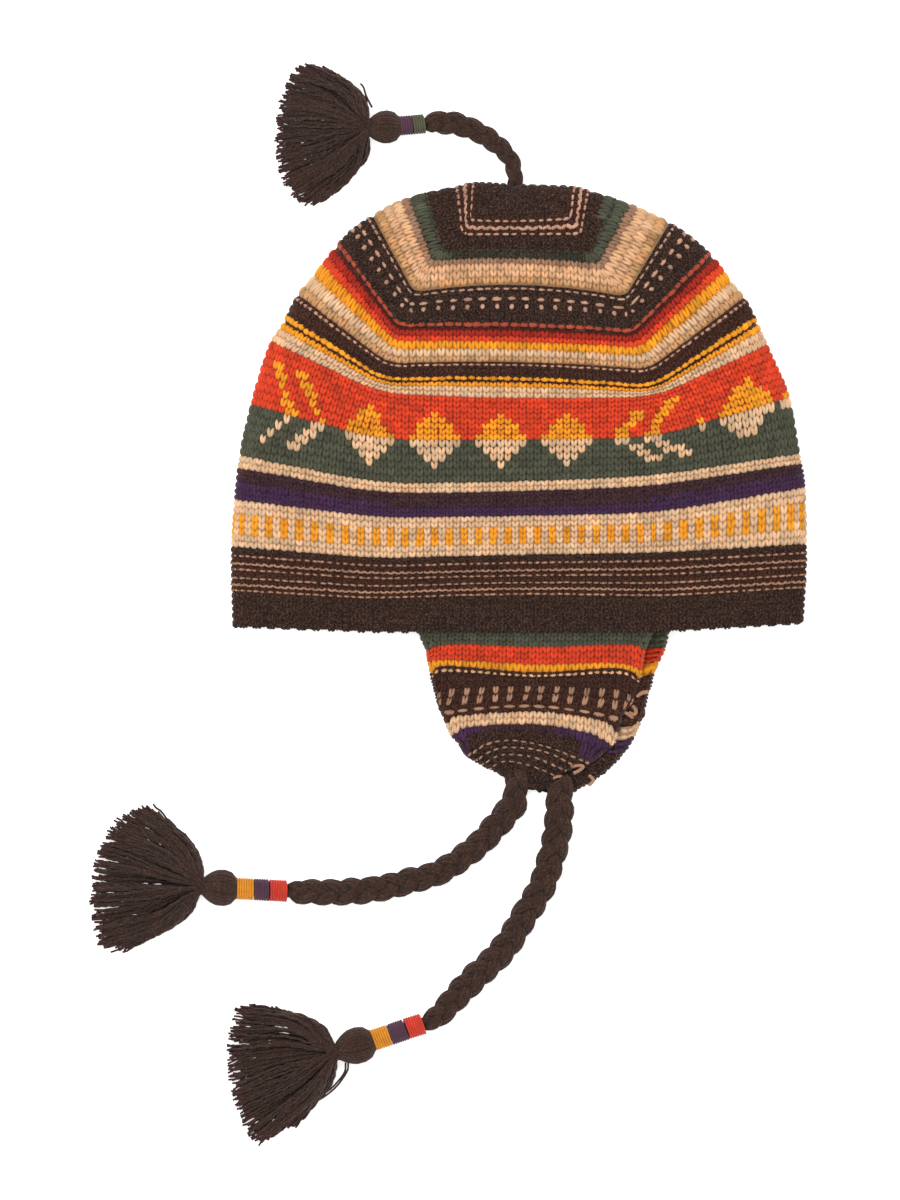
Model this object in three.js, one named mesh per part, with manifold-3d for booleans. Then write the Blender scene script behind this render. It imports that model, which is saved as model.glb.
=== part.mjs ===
// Knitted earflap hat, folded flat on its side and lying on a table.
//
// Millimetres, +Z up. The plane z = 0 is the table top. +Y points from the
// flaps to the tip of the crown, +X to the right of somebody looking down on
// the hat. The origin is on the table, under the middle of crown and flaps.

import * as THREE from 'three';
import { mergeVertices } from 'three/addons/utils/BufferGeometryUtils.js';
import Module from 'manifold-3d';

const wasm = await Module();
wasm.setup();

// Driving dimensions

const WALL = 3;                  // thickness of the double-yarn knit
const GAP = 0.3;                 // clearance between neighbouring pieces

const HEM_LOFT = 20;             // height of the upper layer along the hem
const CROWN_LOFT = 24;           // height of the upper layer in mid crown
const LOFT_RISE = 70;            // length over which it rises from the hem
const FOLD_HEIGHT = 9;           // height of the side folds above the table
const UPPER_FOLD_REACH = 26;     // width of the rounded margin, upper layer
const LOWER_FOLD_REACH = 9;      // width of the rounded margin, lower layer

const FLAP_DROP = 32;            // the near flap sinks over this length
const CORD_SIDES = 10;
const CORD_STEP = 2;             // in cord diameters
const LEAST_STEPS = 6;           // for a short stretch
const ARC_SAMPLES = 400;         // for measuring along a cord
const WRAP_SIDES = 12;
const WRAP_BULGE = 0.4;          // a wound wrap is fuller in its middle
const WRAP_CLEARANCE = 0.7;      // round the core, at the wrap's corners

// Colours of the yarns

const BROWN = 0x44302a;
const GREEN = 0x505f4b;
const PURPLE = 0x4b2d5f;
const RED = 0xd64826;
const YELLOW = 0xf0a528;
const YARN_ROUGHNESS = 0.95;

// The crown is knitted in four wedges. Each row of this table is one course of
// knitting, counted from the hem, as it lies in the upper layer: where it
// meets the left and the right fold, the left and the right corner between the
// wedges, and how far along Y its middle lies.
const COURSES = [
  { row: 0, folds: [[-129, -61.5], [128, -60]], corners: [[-62.5, -64], [61.5, -64]], middle: -64 },
  { row: 24, folds: [[-129.6, -26], [129.6, -24.8]], corners: [[-62.5, -31.3], [61.5, -28.8]], middle: -29.7 },
  { row: 47, folds: [[-126, 14.9], [126.5, 15.8]], corners: [[-62.5, 2.3], [61.5, 5.8]], middle: 3.2 },
  { row: 60, folds: [[-121, 37.8], [122, 41]], corners: [[-62.5, 22], [61.2, 23]], middle: 22 },
  { row: 73, folds: [[-112, 66.6], [112, 64.8]], corners: [[-62.5, 43], [61.7, 41.4]], middle: 40.7 },
  { row: 84, folds: [[-99.9, 87.8], [101.7, 86.4]], corners: [[-58.5, 57.2], [58, 55.4]], middle: 57.2 },
  { row: 94, folds: [[-84.2, 107.6], [88.7, 103.5]], corners: [[-54.9, 71.1], [51.8, 69.3]], middle: 70.7 },
  { row: 101, folds: [[-76, 116.6], [79.7, 112]], corners: [[-51.3, 79.7], [50, 77.9]], middle: 81.2 },
  { row: 108, folds: [[-66.2, 123.3], [68, 120.2]], corners: [[-47.3, 88.7], [47.7, 86.4]], middle: 91.8 },
  { row: 117, folds: [[-50, 131.4], [50.4, 128.3]], corners: [[-39.2, 102.2], [35.6, 100.8]], middle: 103.3 },
  { row: 129, folds: [[-19.8, 138.2], [24.3, 136.4]], corners: [[-21.6, 121.5], [22.5, 122.4]], middle: 121 },
];
const TIP = { row: 140, place: [-1.8, 137.3] };

// Courses that get a ring of points, and the steps from a fold to a corner.
const RING_ROWS = [0, 12, 24, 36, 47, 60, 73, 84, 94, 101, 108, 117, 123, 129, 133, 136.5, 139];
const SIDE_STEPS = [0, 0.015, 0.06, 0.13, 0.22, 0.33, 0.45, 0.7];
const MIDDLE_STEPS = 6;

// Outlines of the two earflaps, a row for each cross-section: its distance
// from the middle of the hat along Y, and its left and right edges.
const NEAR_FLAP = [
  { y: -54, left: -46, right: 61.2 },
  { y: -64.4, left: -45, right: 60.3 },
  { y: -72.5, left: -42.8, right: 56.7 },
  { y: -81.9, left: -40.5, right: 54.7 },
  { y: -90.5, left: -38, right: 50.4 },
  { y: -101.7, left: -35.1, right: 45 },
  { y: -110.3, left: -31.5, right: 43.2 },
  { y: -116.6, left: -25.7, right: 39.6 },
  { y: -122.4, left: -19.4, right: 32.9 },
  { y: -126.5, left: -12.2, right: 23.4 },
  { y: -130, left: -7.2, right: 16.7 },
  { y: -133.7, left: -5.9, right: 11.7 },
  { y: -135.9, left: -4.5, right: 6.3 },
];
const FAR_FLAP = [
  { y: -54, left: -38.3, right: 68.4 },
  { y: -64.4, left: -37.4, right: 67.3 },
  { y: -73.8, left: -35, right: 65.3 },
  { y: -83.7, left: -32.4, right: 60.8 },
  { y: -95, left: -28.8, right: 57.2 },
  { y: -104.9, left: -24.8, right: 55.4 },
  { y: -113.9, left: -18.5, right: 51.3 },
  { y: -119.3, left: -13, right: 46.4 },
  { y: -124.7, left: -6.8, right: 41.9 },
  { y: -129.6, left: 0.5, right: 36.9 },
  { y: -133.7, left: 6.3, right: 32.4 },
  { y: -136.4, left: 8.6, right: 26.1 },
  { y: -138.2, left: 10.8, right: 21.2 },
];
const FLAP_STEPS = 8;

// The three cords. A route is the centre line of a braid and of the core that
// runs on from it under the wraps, up to the head of the tassel. Wraps follow
// one another from the braid's end. A tassel's tips have their angle from the
// cord's direction, in degrees, and their distance from the tassel's neck.
const CORDS = [
  {
    name: 'top',
    radius: 5.5,
    coreRadius: 2.8,
    wrapRadius: 4.5,
    route: [
      [-1.8, 138.5, 9], [-2.1, 143.4, 8.7], [-4.6, 149.5, 7.2], [-9.9, 154.8, 6], [-16.2, 159.3, 5.6],
      [-22, 162.2, 5.6], [-29, 164.3, 5.6], [-35.5, 165, 5.6], [-41.5, 164.4, 5.9],
      [-47.5, 163.8, 6.6], [-53.5, 163.3, 7.3],
    ],
    wraps: [
      { name: 'green', length: 5.7, color: GREEN },
      { name: 'purple', length: 5.2, color: PURPLE },
    ],
    head: { length: 13.5, radius: 7.5 },
    tips: {
      angle: [-50, -36, -22, -7, 8, 22, 37, 51],
      reach: [37, 40, 41, 42, 43, 44, 47, 45],
    },
  },
  {
    name: 'near',
    radius: 6,
    coreRadius: 3.2,
    wrapRadius: 5,
    route: [
      [-1.5, -136.6, 6.1], [-2.2, -141, 6.1], [-6, -146.5, 6.1], [-11.3, -152.6, 6.1],
      [-18.9, -160.7, 6.1], [-28.4, -167.9, 6.1], [-38.3, -173.3, 6.1], [-49.5, -176.4, 6.1],
      [-61.7, -179.4, 6.1], [-73.4, -181, 6.1], [-85.5, -181.4, 6.1], [-96, -181.2, 6.1],
      [-104, -180.9, 6.4], [-115.4, -180.3, 7.4], [-127, -179.7, 8.4],
    ],
    wraps: [
      { name: 'red', length: 7.9, color: RED },
      { name: 'purple', length: 6.5, color: PURPLE },
      { name: 'yellow', length: 7.7, color: YELLOW },
    ],
    head: { length: 14.4, radius: 8.3 },
    tips: {
      angle: [-48, -35, -22, -9, 4, 17, 30, 41],
      reach: [46, 49.5, 49.5, 49, 50, 50.5, 52.5, 49],
    },
  },
  {
    name: 'far',
    radius: 6.5,
    coreRadius: 3.2,
    wrapRadius: 5,
    route: [
      [18.2, -138.6, 6.6], [18.2, -143, 6.6], [18, -148, 6.6], [17.2, -154.5, 6.6], [15.6, -162, 6.6],
      [13, -171, 6.6], [9.6, -180, 6.6], [3.6, -190, 6.6], [-2.7, -200.7, 6.6], [-10.5, -211, 6.6],
      [-20.3, -220, 6.6], [-28.7, -229, 6.6], [-35.4, -236.4, 6.6], [-40.2, -239.4, 6.75],
      [-48.7, -242.2, 7.3], [-57.2, -245.1, 7.85], [-65.6, -247.9, 8.4],
    ],
    wraps: [
      { name: 'red', length: 7.9, color: RED },
      { name: 'purple', length: 7.3, color: PURPLE },
      { name: 'yellow', length: 7.7, color: YELLOW },
    ],
    head: { length: 16, radius: 8.3 },
    tips: {
      angle: [-43, -32, -21, -10, 1, 12, 21, 29],
      reach: [50, 49.5, 50, 50, 52, 53, 55, 51],
    },
  },
];

// A tassel's locks: half-width and half-height along a lock, from the neck to
// the tip, and how much wider than its tip a lock swings on the way.
const LOCK = [
  { along: 0, halfWidth: 2.4, halfHeight: 2.4 },
  { along: 0.2, halfWidth: 3.6, halfHeight: 3.1 },
  { along: 0.45, halfWidth: 5, halfHeight: 3.4 },
  { along: 0.75, halfWidth: 6, halfHeight: 3.2 },
  { along: 1, halfWidth: 5, halfHeight: 2.2 },
];
const LOCK_SIDES = 6;
const LOCK_SWING = 1.35;
const LOCK_SWING_AT = 0.45;
const LOCK_ROOT = 4;             // depth of a lock's root inside the head
const UPPER_LOCK_LIFT = 5.2;     // the upper locks lie this much higher
const TIP_LIFT = 0.8;            // of which their tips keep this share
const UPPER_LOCK_REACH = 0.94;   // and are shorter than the lower ones
const TABLE_CLEARANCE = 0.05;

const UP = new THREE.Vector3(0, 0, 1);
const ALONG_Y = new THREE.Vector3(0, 1, 0);

// Closed bodies from rings of points

// Joins rings with equal numbers of points by quads and closes both ends with
// a fan to a point. Rings turn so that (turn x advance) points outwards.
function loft(rings, startPoint, endPoint) {
  const count = rings[0].length;
  const positions = [];
  const faces = [];
  for (const ring of rings) {
    for (const point of ring) positions.push(point.x, point.y, point.z);
  }
  positions.push(startPoint.x, startPoint.y, startPoint.z);
  positions.push(endPoint.x, endPoint.y, endPoint.z);
  const start = rings.length * count;
  const end = start + 1;
  const lastRing = (rings.length - 1) * count;
  for (let i = 0; i < count; i++) {
    const next = (i + 1) % count;
    for (let ring = 0; ring < rings.length - 1; ring++) {
      const a = ring * count + i;
      const b = ring * count + next;
      const c = b + count;
      const d = a + count;
      faces.push(a, b, c, a, c, d);
    }
    faces.push(next, i, start);
    faces.push(lastRing + i, lastRing + next, end);
  }
  const geometry = new THREE.BufferGeometry();
  geometry.setAttribute('position', new THREE.Float32BufferAttribute(positions, 3));
  geometry.setIndex(faces);
  return geometry;
}

function centreOf(ring) {
  const centre = new THREE.Vector3();
  for (const point of ring) centre.add(point);
  return centre.divideScalar(ring.length);
}

// Solids that are cut or joined

function toSolid(geometry) {
  const bare = geometry.clone();
  bare.deleteAttribute('normal');
  bare.deleteAttribute('uv');
  const merged = mergeVertices(bare);
  return new wasm.Manifold(new wasm.Mesh({
    numProp: 3,
    vertProperties: new Float32Array(merged.attributes.position.array),
    triVerts: new Uint32Array(merged.index.array),
  }));
}

function join(geometries) {
  const solid = geometries.map(toSolid).reduce((whole, piece) => whole.add(piece));
  const mesh = solid.getMesh();
  const geometry = new THREE.BufferGeometry();
  geometry.setAttribute('position', new THREE.Float32BufferAttribute(mesh.vertProperties, 3));
  geometry.setIndex(Array.from(mesh.triVerts));
  return geometry;
}

// Crown

function mixPlaces(a, b, share) {
  return [a[0] + (b[0] - a[0]) * share, a[1] + (b[1] - a[1]) * share];
}

// The course at any row, between two rows of the table or on the way to the tip.
function courseAt(row) {
  const tip = TIP.place;
  const gathered = { row: TIP.row, folds: [tip, tip], corners: [tip, tip], middle: tip[1] };
  const table = [...COURSES, gathered];
  const above = Math.max(1, table.findIndex((course) => course.row >= row));
  const low = table[above - 1];
  const high = table[above];
  const share = (row - low.row) / (high.row - low.row);
  return {
    folds: [0, 1].map((side) => mixPlaces(low.folds[side], high.folds[side], share)),
    corners: [0, 1].map((side) => mixPlaces(low.corners[side], high.corners[side], share)),
    middle: low.middle + (high.middle - low.middle) * share,
  };
}

// Places of one course seen from above, from the left fold to the right fold.
function coursePlaces({ folds, corners, middle }) {
  const places = SIDE_STEPS.map((step) => mixPlaces(folds[0], corners[0], step));
  const sag = middle - (corners[0][1] + corners[1][1]) / 2;
  for (let i = 0; i <= MIDDLE_STEPS; i++) {
    const share = i / MIDDLE_STEPS;
    const place = mixPlaces(corners[0], corners[1], share);
    places.push([place[0], place[1] + 4 * sag * share * (1 - share)]);
  }
  const back = [...SIDE_STEPS].reverse();
  return places.concat(back.map((step) => mixPlaces(folds[1], corners[1], step)));
}

// The fold that runs from the hem's left end over the tip to its right end.
const FOLD_LINE = [
  ...COURSES.map((course) => course.folds[0]),
  TIP.place,
  ...[...COURSES].reverse().map((course) => course.folds[1]),
];

function distanceToFold([x, y]) {
  const place = new THREE.Vector3(x, y, 0);
  const nearest = new THREE.Vector3();
  const edge = new THREE.Line3();
  let least = Infinity;
  for (let i = 0; i < FOLD_LINE.length - 1; i++) {
    edge.start.set(FOLD_LINE[i][0], FOLD_LINE[i][1], 0);
    edge.end.set(FOLD_LINE[i + 1][0], FOLD_LINE[i + 1][1], 0);
    edge.closestPointToPoint(place, true, nearest);
    least = Math.min(least, nearest.distanceTo(place));
  }
  return least;
}

// Quarter of an ellipse: 0 on the fold, 1 from the end of its margin on.
function roundMargin(distance, reach) {
  const share = Math.min(distance / reach, 1);
  return Math.sqrt(1 - (1 - share) ** 2);
}

function upperHeight(place) {
  const hem = COURSES[0].middle;
  const rise = THREE.MathUtils.smoothstep(place[1], hem + GAP, hem + LOFT_RISE);
  const loft = HEM_LOFT + (CROWN_LOFT - HEM_LOFT) * rise;
  return FOLD_HEIGHT + (loft - FOLD_HEIGHT) * roundMargin(distanceToFold(place), UPPER_FOLD_REACH);
}

function lowerHeight(place) {
  return FOLD_HEIGHT * (1 - roundMargin(distanceToFold(place), LOWER_FOLD_REACH));
}

// A course goes round the hat: over the upper layer and back under the lower one.
function crownRing(row) {
  const places = coursePlaces(courseAt(row));
  const upper = places.map((place) => new THREE.Vector3(place[0], place[1], upperHeight(place)));
  const inner = places.slice(1, -1).reverse();
  const lower = inner.map((place) => new THREE.Vector3(place[0], place[1], lowerHeight(place)));
  return [...upper, ...lower];
}

function crownGeometry() {
  const outer = RING_ROWS.map(crownRing);
  const tip = new THREE.Vector3(TIP.place[0], TIP.place[1], FOLD_HEIGHT);
  const hemCentre = centreOf(outer[0]);
  const skin = loft(outer, hemCentre, tip);
  // Without the fan over the mouth, so that the hem's normals stay square to the knit.
  const count = outer[0].length;
  const triangles = Array.from(skin.index.array);
  const start = outer.length * count;
  const open = [];
  for (let i = 0; i < triangles.length; i += 3) {
    const corners = triangles.slice(i, i + 3);
    if (!corners.includes(start)) open.push(...corners);
  }
  skin.setIndex(open);
  skin.computeVertexNormals();
  const normals = skin.attributes.normal;
  const inset = (point, index) => {
    const normal = new THREE.Vector3().fromBufferAttribute(normals, index);
    return point.clone().addScaledVector(normal, -WALL);
  };
  const inner = outer.map((ring, r) => ring.map((point, i) => inset(point, r * count + i)));
  const innerTip = inset(tip, start + 1);
  return loft([...inner.reverse(), ...outer], innerTip, tip);
}

// Flaps

// A flap is a sheet of knit: cross-sections from its tip up to its sewn edge,
// at the height that lift gives for the underside.
function flapGeometry(table, lift) {
  const rings = [...table].reverse().map(({ y, left, right }) => {
    const top = [];
    const bottom = [];
    for (let i = 0; i <= FLAP_STEPS; i++) {
      const x = left + (right - left) * i / FLAP_STEPS;
      const z = lift(y);
      top.push(new THREE.Vector3(x, y, z + WALL));
      bottom.unshift(new THREE.Vector3(x, y, z));
    }
    return [...top, ...bottom];
  });
  return loft(rings, centreOf(rings[0]), centreOf(rings[rings.length - 1]));
}

const HEM = COURSES[0].middle;

// Sewn under the upper layer of the hem, it sinks on to the far flap.
function nearFlapLift(y) {
  const sewn = HEM_LOFT - 2 * WALL - GAP;
  const laid = WALL + GAP;
  return laid + (sewn - laid) * THREE.MathUtils.smoothstep(y, HEM - FLAP_DROP, HEM);
}

// Sewn on the lower layer of the hem, it reaches the table just outside.
function farFlapLift(y) {
  return (WALL + GAP) * THREE.MathUtils.smoothstep(y, HEM - 4 * WALL, HEM);
}

// Cords, wraps and tassels

function roundSection(radius) {
  const corners = [];
  for (let i = 0; i < CORD_SIDES; i++) {
    const angle = 2 * Math.PI * i / CORD_SIDES;
    corners.push(new THREE.Vector2(radius * Math.cos(angle), radius * Math.sin(angle)));
  }
  return new THREE.Shape(corners);
}

// A stretch of a longer curve, from one share of its length to another.
class Stretch extends THREE.Curve {
  constructor(whole, from, to) {
    super();
    this.whole = whole;
    this.from = from;
    this.to = to;
  }

  getPoint(share, target = new THREE.Vector3()) {
    return this.whole.getPointAt(this.from + (this.to - this.from) * share, target);
  }
}

function tube(route, from, to, radius) {
  const path = new Stretch(route, from, to);
  const steps = Math.max(LEAST_STEPS, Math.ceil(path.getLength() / (CORD_STEP * 2 * radius)));
  return new THREE.ExtrudeGeometry(roundSection(radius), { steps, extrudePath: path, bevelEnabled: false });
}

function wrapGeometry(length, innerRadius, outerRadius) {
  const edge = outerRadius - WRAP_BULGE;
  const profile = [
    [innerRadius, -length / 2], [edge, -length / 2], [outerRadius, -length / 4], [outerRadius, length / 4],
    [edge, length / 2], [innerRadius, length / 2], [innerRadius, -length / 2],
  ];
  return new THREE.LatheGeometry(profile.map(([x, y]) => new THREE.Vector2(x, y)), WRAP_SIDES);
}

// The head's profile, from the wraps to the neck: share of length and of radius.
const HEAD_PROFILE = [[0, 0], [0, 0.55], [0.14, 0.86], [0.36, 1], [0.62, 0.97], [0.86, 0.74], [1, 0.5], [1, 0]];

function headGeometry({ length, radius }) {
  const profile = HEAD_PROFILE.map(([along, wide]) => new THREE.Vector2(radius * wide, length * along));
  return new THREE.LatheGeometry(profile, CORD_SIDES);
}

// One lock of the fringe, a tapered flat strip that swings out and comes to lie.
function lockGeometry(root, neck, heading, { angle, reach, lift }) {
  const swing = heading + THREE.MathUtils.degToRad(angle * LOCK_SWING);
  const final = heading + THREE.MathUtils.degToRad(angle);
  const midReach = reach * LOCK_SWING_AT;
  const lastSection = LOCK[LOCK.length - 1];
  const midHeight = LOCK[2].halfHeight + TABLE_CLEARANCE + lift;
  const tipHeight = lastSection.halfHeight + TABLE_CLEARANCE + lift * TIP_LIFT;
  const curve = new THREE.CatmullRomCurve3([
    root,
    new THREE.Vector3(neck.x + midReach * Math.cos(swing), neck.y + midReach * Math.sin(swing), midHeight),
    new THREE.Vector3(neck.x + reach * Math.cos(final), neck.y + reach * Math.sin(final), tipHeight),
  ]);
  const rings = LOCK.map(({ along, halfWidth, halfHeight }) => {
    const centre = curve.getPointAt(along);
    centre.z = Math.max(centre.z, halfHeight + TABLE_CLEARANCE);
    const tangent = curve.getTangentAt(along).setZ(0).normalize();
    const side = new THREE.Vector3().crossVectors(UP, tangent);
    const ring = [];
    for (let i = 0; i < LOCK_SIDES; i++) {
      const turn = 2 * Math.PI * i / LOCK_SIDES;
      const point = centre.clone().addScaledVector(side, halfWidth * Math.cos(turn));
      ring.push(point.addScaledVector(UP, halfHeight * Math.sin(turn)));
    }
    return ring;
  });
  return loft(rings, centreOf(rings[0]), centreOf(rings[rings.length - 1]));
}

// The head and its locks, fused: lower locks on the table, upper ones between them.
function tasselGeometry(cord, end, direction) {
  const head = headGeometry(cord.head);
  const place = new THREE.Vector3().copy(end).addScaledVector(direction, GAP);
  head.applyQuaternion(new THREE.Quaternion().setFromUnitVectors(ALONG_Y, direction));
  head.translate(place.x, place.y, place.z);
  const neck = place.clone().addScaledVector(direction, cord.head.length);
  const root = neck.clone().addScaledVector(direction, -LOCK_ROOT);
  const heading = Math.atan2(direction.y, direction.x);
  const { angle, reach } = cord.tips;
  const locks = angle.map((turn, i) => ({ angle: turn, reach: reach[i], lift: 0 }));
  for (let i = 0; i < angle.length; i += 2) {
    locks.push({
      angle: (angle[i] + angle[i + 1]) / 2,
      reach: UPPER_LOCK_REACH * (reach[i] + reach[i + 1]) / 2,
      lift: UPPER_LOCK_LIFT,
    });
  }
  return join([head, ...locks.map((lock) => lockGeometry(root, neck, heading, lock))]);
}

// Assembly

const hat = new THREE.Group();

function addPiece(name, geometry, color, parent = hat) {
  const material = new THREE.MeshStandardMaterial({ color, roughness: YARN_ROUGHNESS, metalness: 0 });
  const mesh = new THREE.Mesh(geometry, material);
  mesh.name = name;
  parent.add(mesh);
  return mesh;
}

function addCord(cord) {
  const route = new THREE.CatmullRomCurve3(cord.route.map((point) => new THREE.Vector3(...point)));
  route.arcLengthDivisions = ARC_SAMPLES;
  const length = route.getLength();
  const wrapsLength = cord.wraps.reduce((sum, wrap) => sum + wrap.length + GAP, 0);
  const braidShare = 1 - wrapsLength / length;
  const braid = tube(route, 0, braidShare, cord.radius);
  const core = tube(route, braidShare - cord.radius / length, 1, cord.coreRadius);
  addPiece(`braid_${cord.name}`, join([braid, core]), BROWN);

  let along = braidShare * length;
  for (const wrap of cord.wraps) {
    const share = (along + GAP + wrap.length / 2) / length;
    const ring = wrapGeometry(wrap.length, cord.coreRadius + WRAP_CLEARANCE, cord.wrapRadius);
    const mesh = addPiece(`wrap_${cord.name}_${wrap.name}`, ring, wrap.color);
    mesh.position.copy(route.getPointAt(share));
    mesh.quaternion.setFromUnitVectors(ALONG_Y, route.getTangentAt(share));
    along += wrap.length + GAP;
  }

  addPiece(`tassel_${cord.name}`, tasselGeometry(cord, route.getPointAt(1), route.getTangentAt(1)), BROWN);
}

addPiece('crown', crownGeometry(), RED);
addPiece('flap_near', flapGeometry(NEAR_FLAP, nearFlapLift), GREEN);
addPiece('flap_far', flapGeometry(FAR_FLAP, farFlapLift), PURPLE);
CORDS.forEach(addCord);

export default hat;
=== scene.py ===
# %% [markdown]
# # A knitted earflap hat, folded flat on its side
#
# The hat is a tube of colour-striped wool knit that narrows to a square top, with an
# earflap sewn inside the hem at each side, and three plaited cords with tassels. It
# lies on a table and is seen from straight above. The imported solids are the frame.
# Each soft piece here replaces one of them and stays in its place.

# %% Load the frame
import math
from functools import partial

import bmesh
import bpy
import numpy as np
from mathutils import Matrix, Vector


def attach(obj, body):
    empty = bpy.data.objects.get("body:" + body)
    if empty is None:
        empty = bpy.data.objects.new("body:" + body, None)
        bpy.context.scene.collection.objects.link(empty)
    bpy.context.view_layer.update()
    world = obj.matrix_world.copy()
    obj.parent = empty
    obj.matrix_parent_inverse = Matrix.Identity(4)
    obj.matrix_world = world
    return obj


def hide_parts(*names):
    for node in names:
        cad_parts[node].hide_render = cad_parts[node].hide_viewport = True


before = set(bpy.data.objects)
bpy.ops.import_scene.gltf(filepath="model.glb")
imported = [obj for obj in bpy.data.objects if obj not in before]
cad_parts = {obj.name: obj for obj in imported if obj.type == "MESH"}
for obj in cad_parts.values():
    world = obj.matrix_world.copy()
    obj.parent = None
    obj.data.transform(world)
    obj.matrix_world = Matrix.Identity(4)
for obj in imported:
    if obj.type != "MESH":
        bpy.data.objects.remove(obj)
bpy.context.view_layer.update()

print("solids in the frame:", len(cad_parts))

# %% [markdown]
# Lengths are written in millimetres, as a knitter or a tailor would measure them, and
# turn into metres where a mesh is made. Random numbers come from one seeded source, so
# that the hat is the same on every run.

# %% Units and chance
MM = 0.001
UP = np.array([0.0, 0.0, 1.0])
chance = np.random.default_rng(7)


def unit(vectors):
    """The same directions with length 1."""
    vectors = np.asarray(vectors, float)
    return vectors / np.maximum(np.linalg.norm(vectors, axis=-1, keepdims=True), 1e-9)


def smoothstep(value, low, high):
    """0 below low, 1 above high, with a soft start and end between them."""
    share = np.clip((np.asarray(value, float) - low) / (high - low), 0, 1)
    return share * share * (3 - 2 * share)


# %% [markdown]
# ## Camera
#
# The photograph was taken from straight above with a long lens: the hat shows no
# perspective, and one pixel of the 900 x 1200 picture is 0.45 mm on the table. A camera
# twelve metres up has the same calm view, in which the top of the hat is not shifted
# against its hem. The lens follows from the height of the picture.

# %% Camera
PICTURE_WIDE, PICTURE_HIGH = 900, 1200
PIXEL = 0.45
# the pixel in which the photo shows the origin of the frame
AXIS_PIXEL = (519, 489)
CAMERA_HEIGHT = 12.0
SENSOR = 36.0

camera_data = bpy.data.cameras.new("camera")
camera_data.sensor_width = SENSOR
camera_data.lens = SENSOR * CAMERA_HEIGHT / (PICTURE_HIGH * PIXEL * MM)
camera_data.clip_end = 30
camera = bpy.data.objects.new("camera", camera_data)
camera.location = (
    (PICTURE_WIDE / 2 - AXIS_PIXEL[0]) * PIXEL * MM,
    (AXIS_PIXEL[1] - PICTURE_HIGH / 2) * PIXEL * MM,
    CAMERA_HEIGHT,
)
bpy.context.scene.collection.objects.link(camera)
bpy.context.scene.camera = camera
print("lens", round(camera_data.lens), "mm at", CAMERA_HEIGHT, "m")

# %% [markdown]
# ## Yarns and their colours
#
# The hat is of carded wool: short fibres lie every way in the thread, so its surface is
# matt, with light that grazes it caught by loose hairs. The brown yarn is a heather. It
# is spun from dark brown, grey and rust fibres that stay visible as fine flecks. Colours
# are given as the eye reads them, in sRGB, and one function turns them linear.

# %% Colours
YARNS = {
    "brown": "#331f17",
    "rust": "#422013",
    "plum": "#40242e",
    "purple": "#47284f",
    "cream": "#dfb68e",
    "sand": "#dcab80",
    "tan": "#c0937a",
    "fawn": "#a98066",
    "rose": "#ca9868",
    "green": "#4d513f",
    "olive": "#353628",
    "orange": "#da401b",
    "red": "#a82412",
    "brick": "#a8452e",
    "maroon": "#55190f",
    "yellow": "#ed9a1a",
}
# how strongly the flecks of other fibres show in a yarn
HEATHER = {
    "brown": 0.75, "rust": 0.6, "plum": 0.5, "green": 0.4, "olive": 0.6, "purple": 0.3, "tan": 0.2,
}
PLAIN_HEATHER = 0.06


def linear(hex_code):
    """An sRGB hex code as linear red, green and blue."""
    parts = [int(hex_code[i : i + 2], 16) / 255 for i in (1, 3, 5)]
    return [p / 12.92 if p <= 0.04045 else ((p + 0.055) / 1.055) ** 2.4 for p in parts]


YARN_NAMES = list(YARNS)
YARN_COLOURS = np.array([linear(YARNS[name]) for name in YARN_NAMES])
YARN_HEATHER = np.array([HEATHER.get(name, PLAIN_HEATHER) for name in YARN_NAMES])
YARN_NUMBER = {name: i for i, name in enumerate(YARN_NAMES)}
print("yarns:", ", ".join(YARN_NAMES))

# %% [markdown]
# A node tree is easier to read as a list of nodes than as a list of clicks. This helper
# adds one node, sets its sockets or properties by name, and links what feeds it.

# %% Node helper
def add(tree, kind, settings=None, links=None):
    """Adds a node; settings go to its sockets or properties, links to its sockets."""
    node = tree.nodes.new(kind)
    for name, value in (settings or {}).items():
        if isinstance(name, str) and hasattr(node, name):
            setattr(node, name, value)
        else:
            node.inputs[name].default_value = value
    for name, source in (links or {}).items():
        tree.links.new(source, node.inputs[name])
    return node


# %% [markdown]
# ## Knitted and spun wool
#
# One recipe serves every wool surface. The yarn's colour comes from a colour attribute
# where stitches differ, or is one colour for a cord. Its alpha says how much heather
# shows. Fine noise of about a quarter millimetre stands for single fibres, one of almost
# a millimetre for the flecks of the heather, and one of five for uneven dye. Fibres are
# much finer than that, 0.02 mm, and are drawn this coarse because finer ones would
# vanish. A sheen stands for the halo of loose hairs. The cut tips of the tassels have
# taken on a little red.

# %% Wool
FIBRE, FLECK, DYE = 0.28, 0.8, 5.0
FIBRE_DEPTH = 0.2
# how much fibres and dye darken and lighten a yarn
FIBRE_SHADES, DYE_SHADES = (0.72, 1.2), (0.86, 1.12)
FLECK_LIGHT = linear("#6b4e3f")
FLECK_DARK = linear("#17100e")
# values of the fleck noise from which a fleck begins to show, and is full
FLECK_BEGINS, LIGHT_FULL, DARK_FULL = 0.5, 0.72, 0.3
FRAYED_TIP = linear("#40211d")
FRAYED_FROM = 0.9


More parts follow.
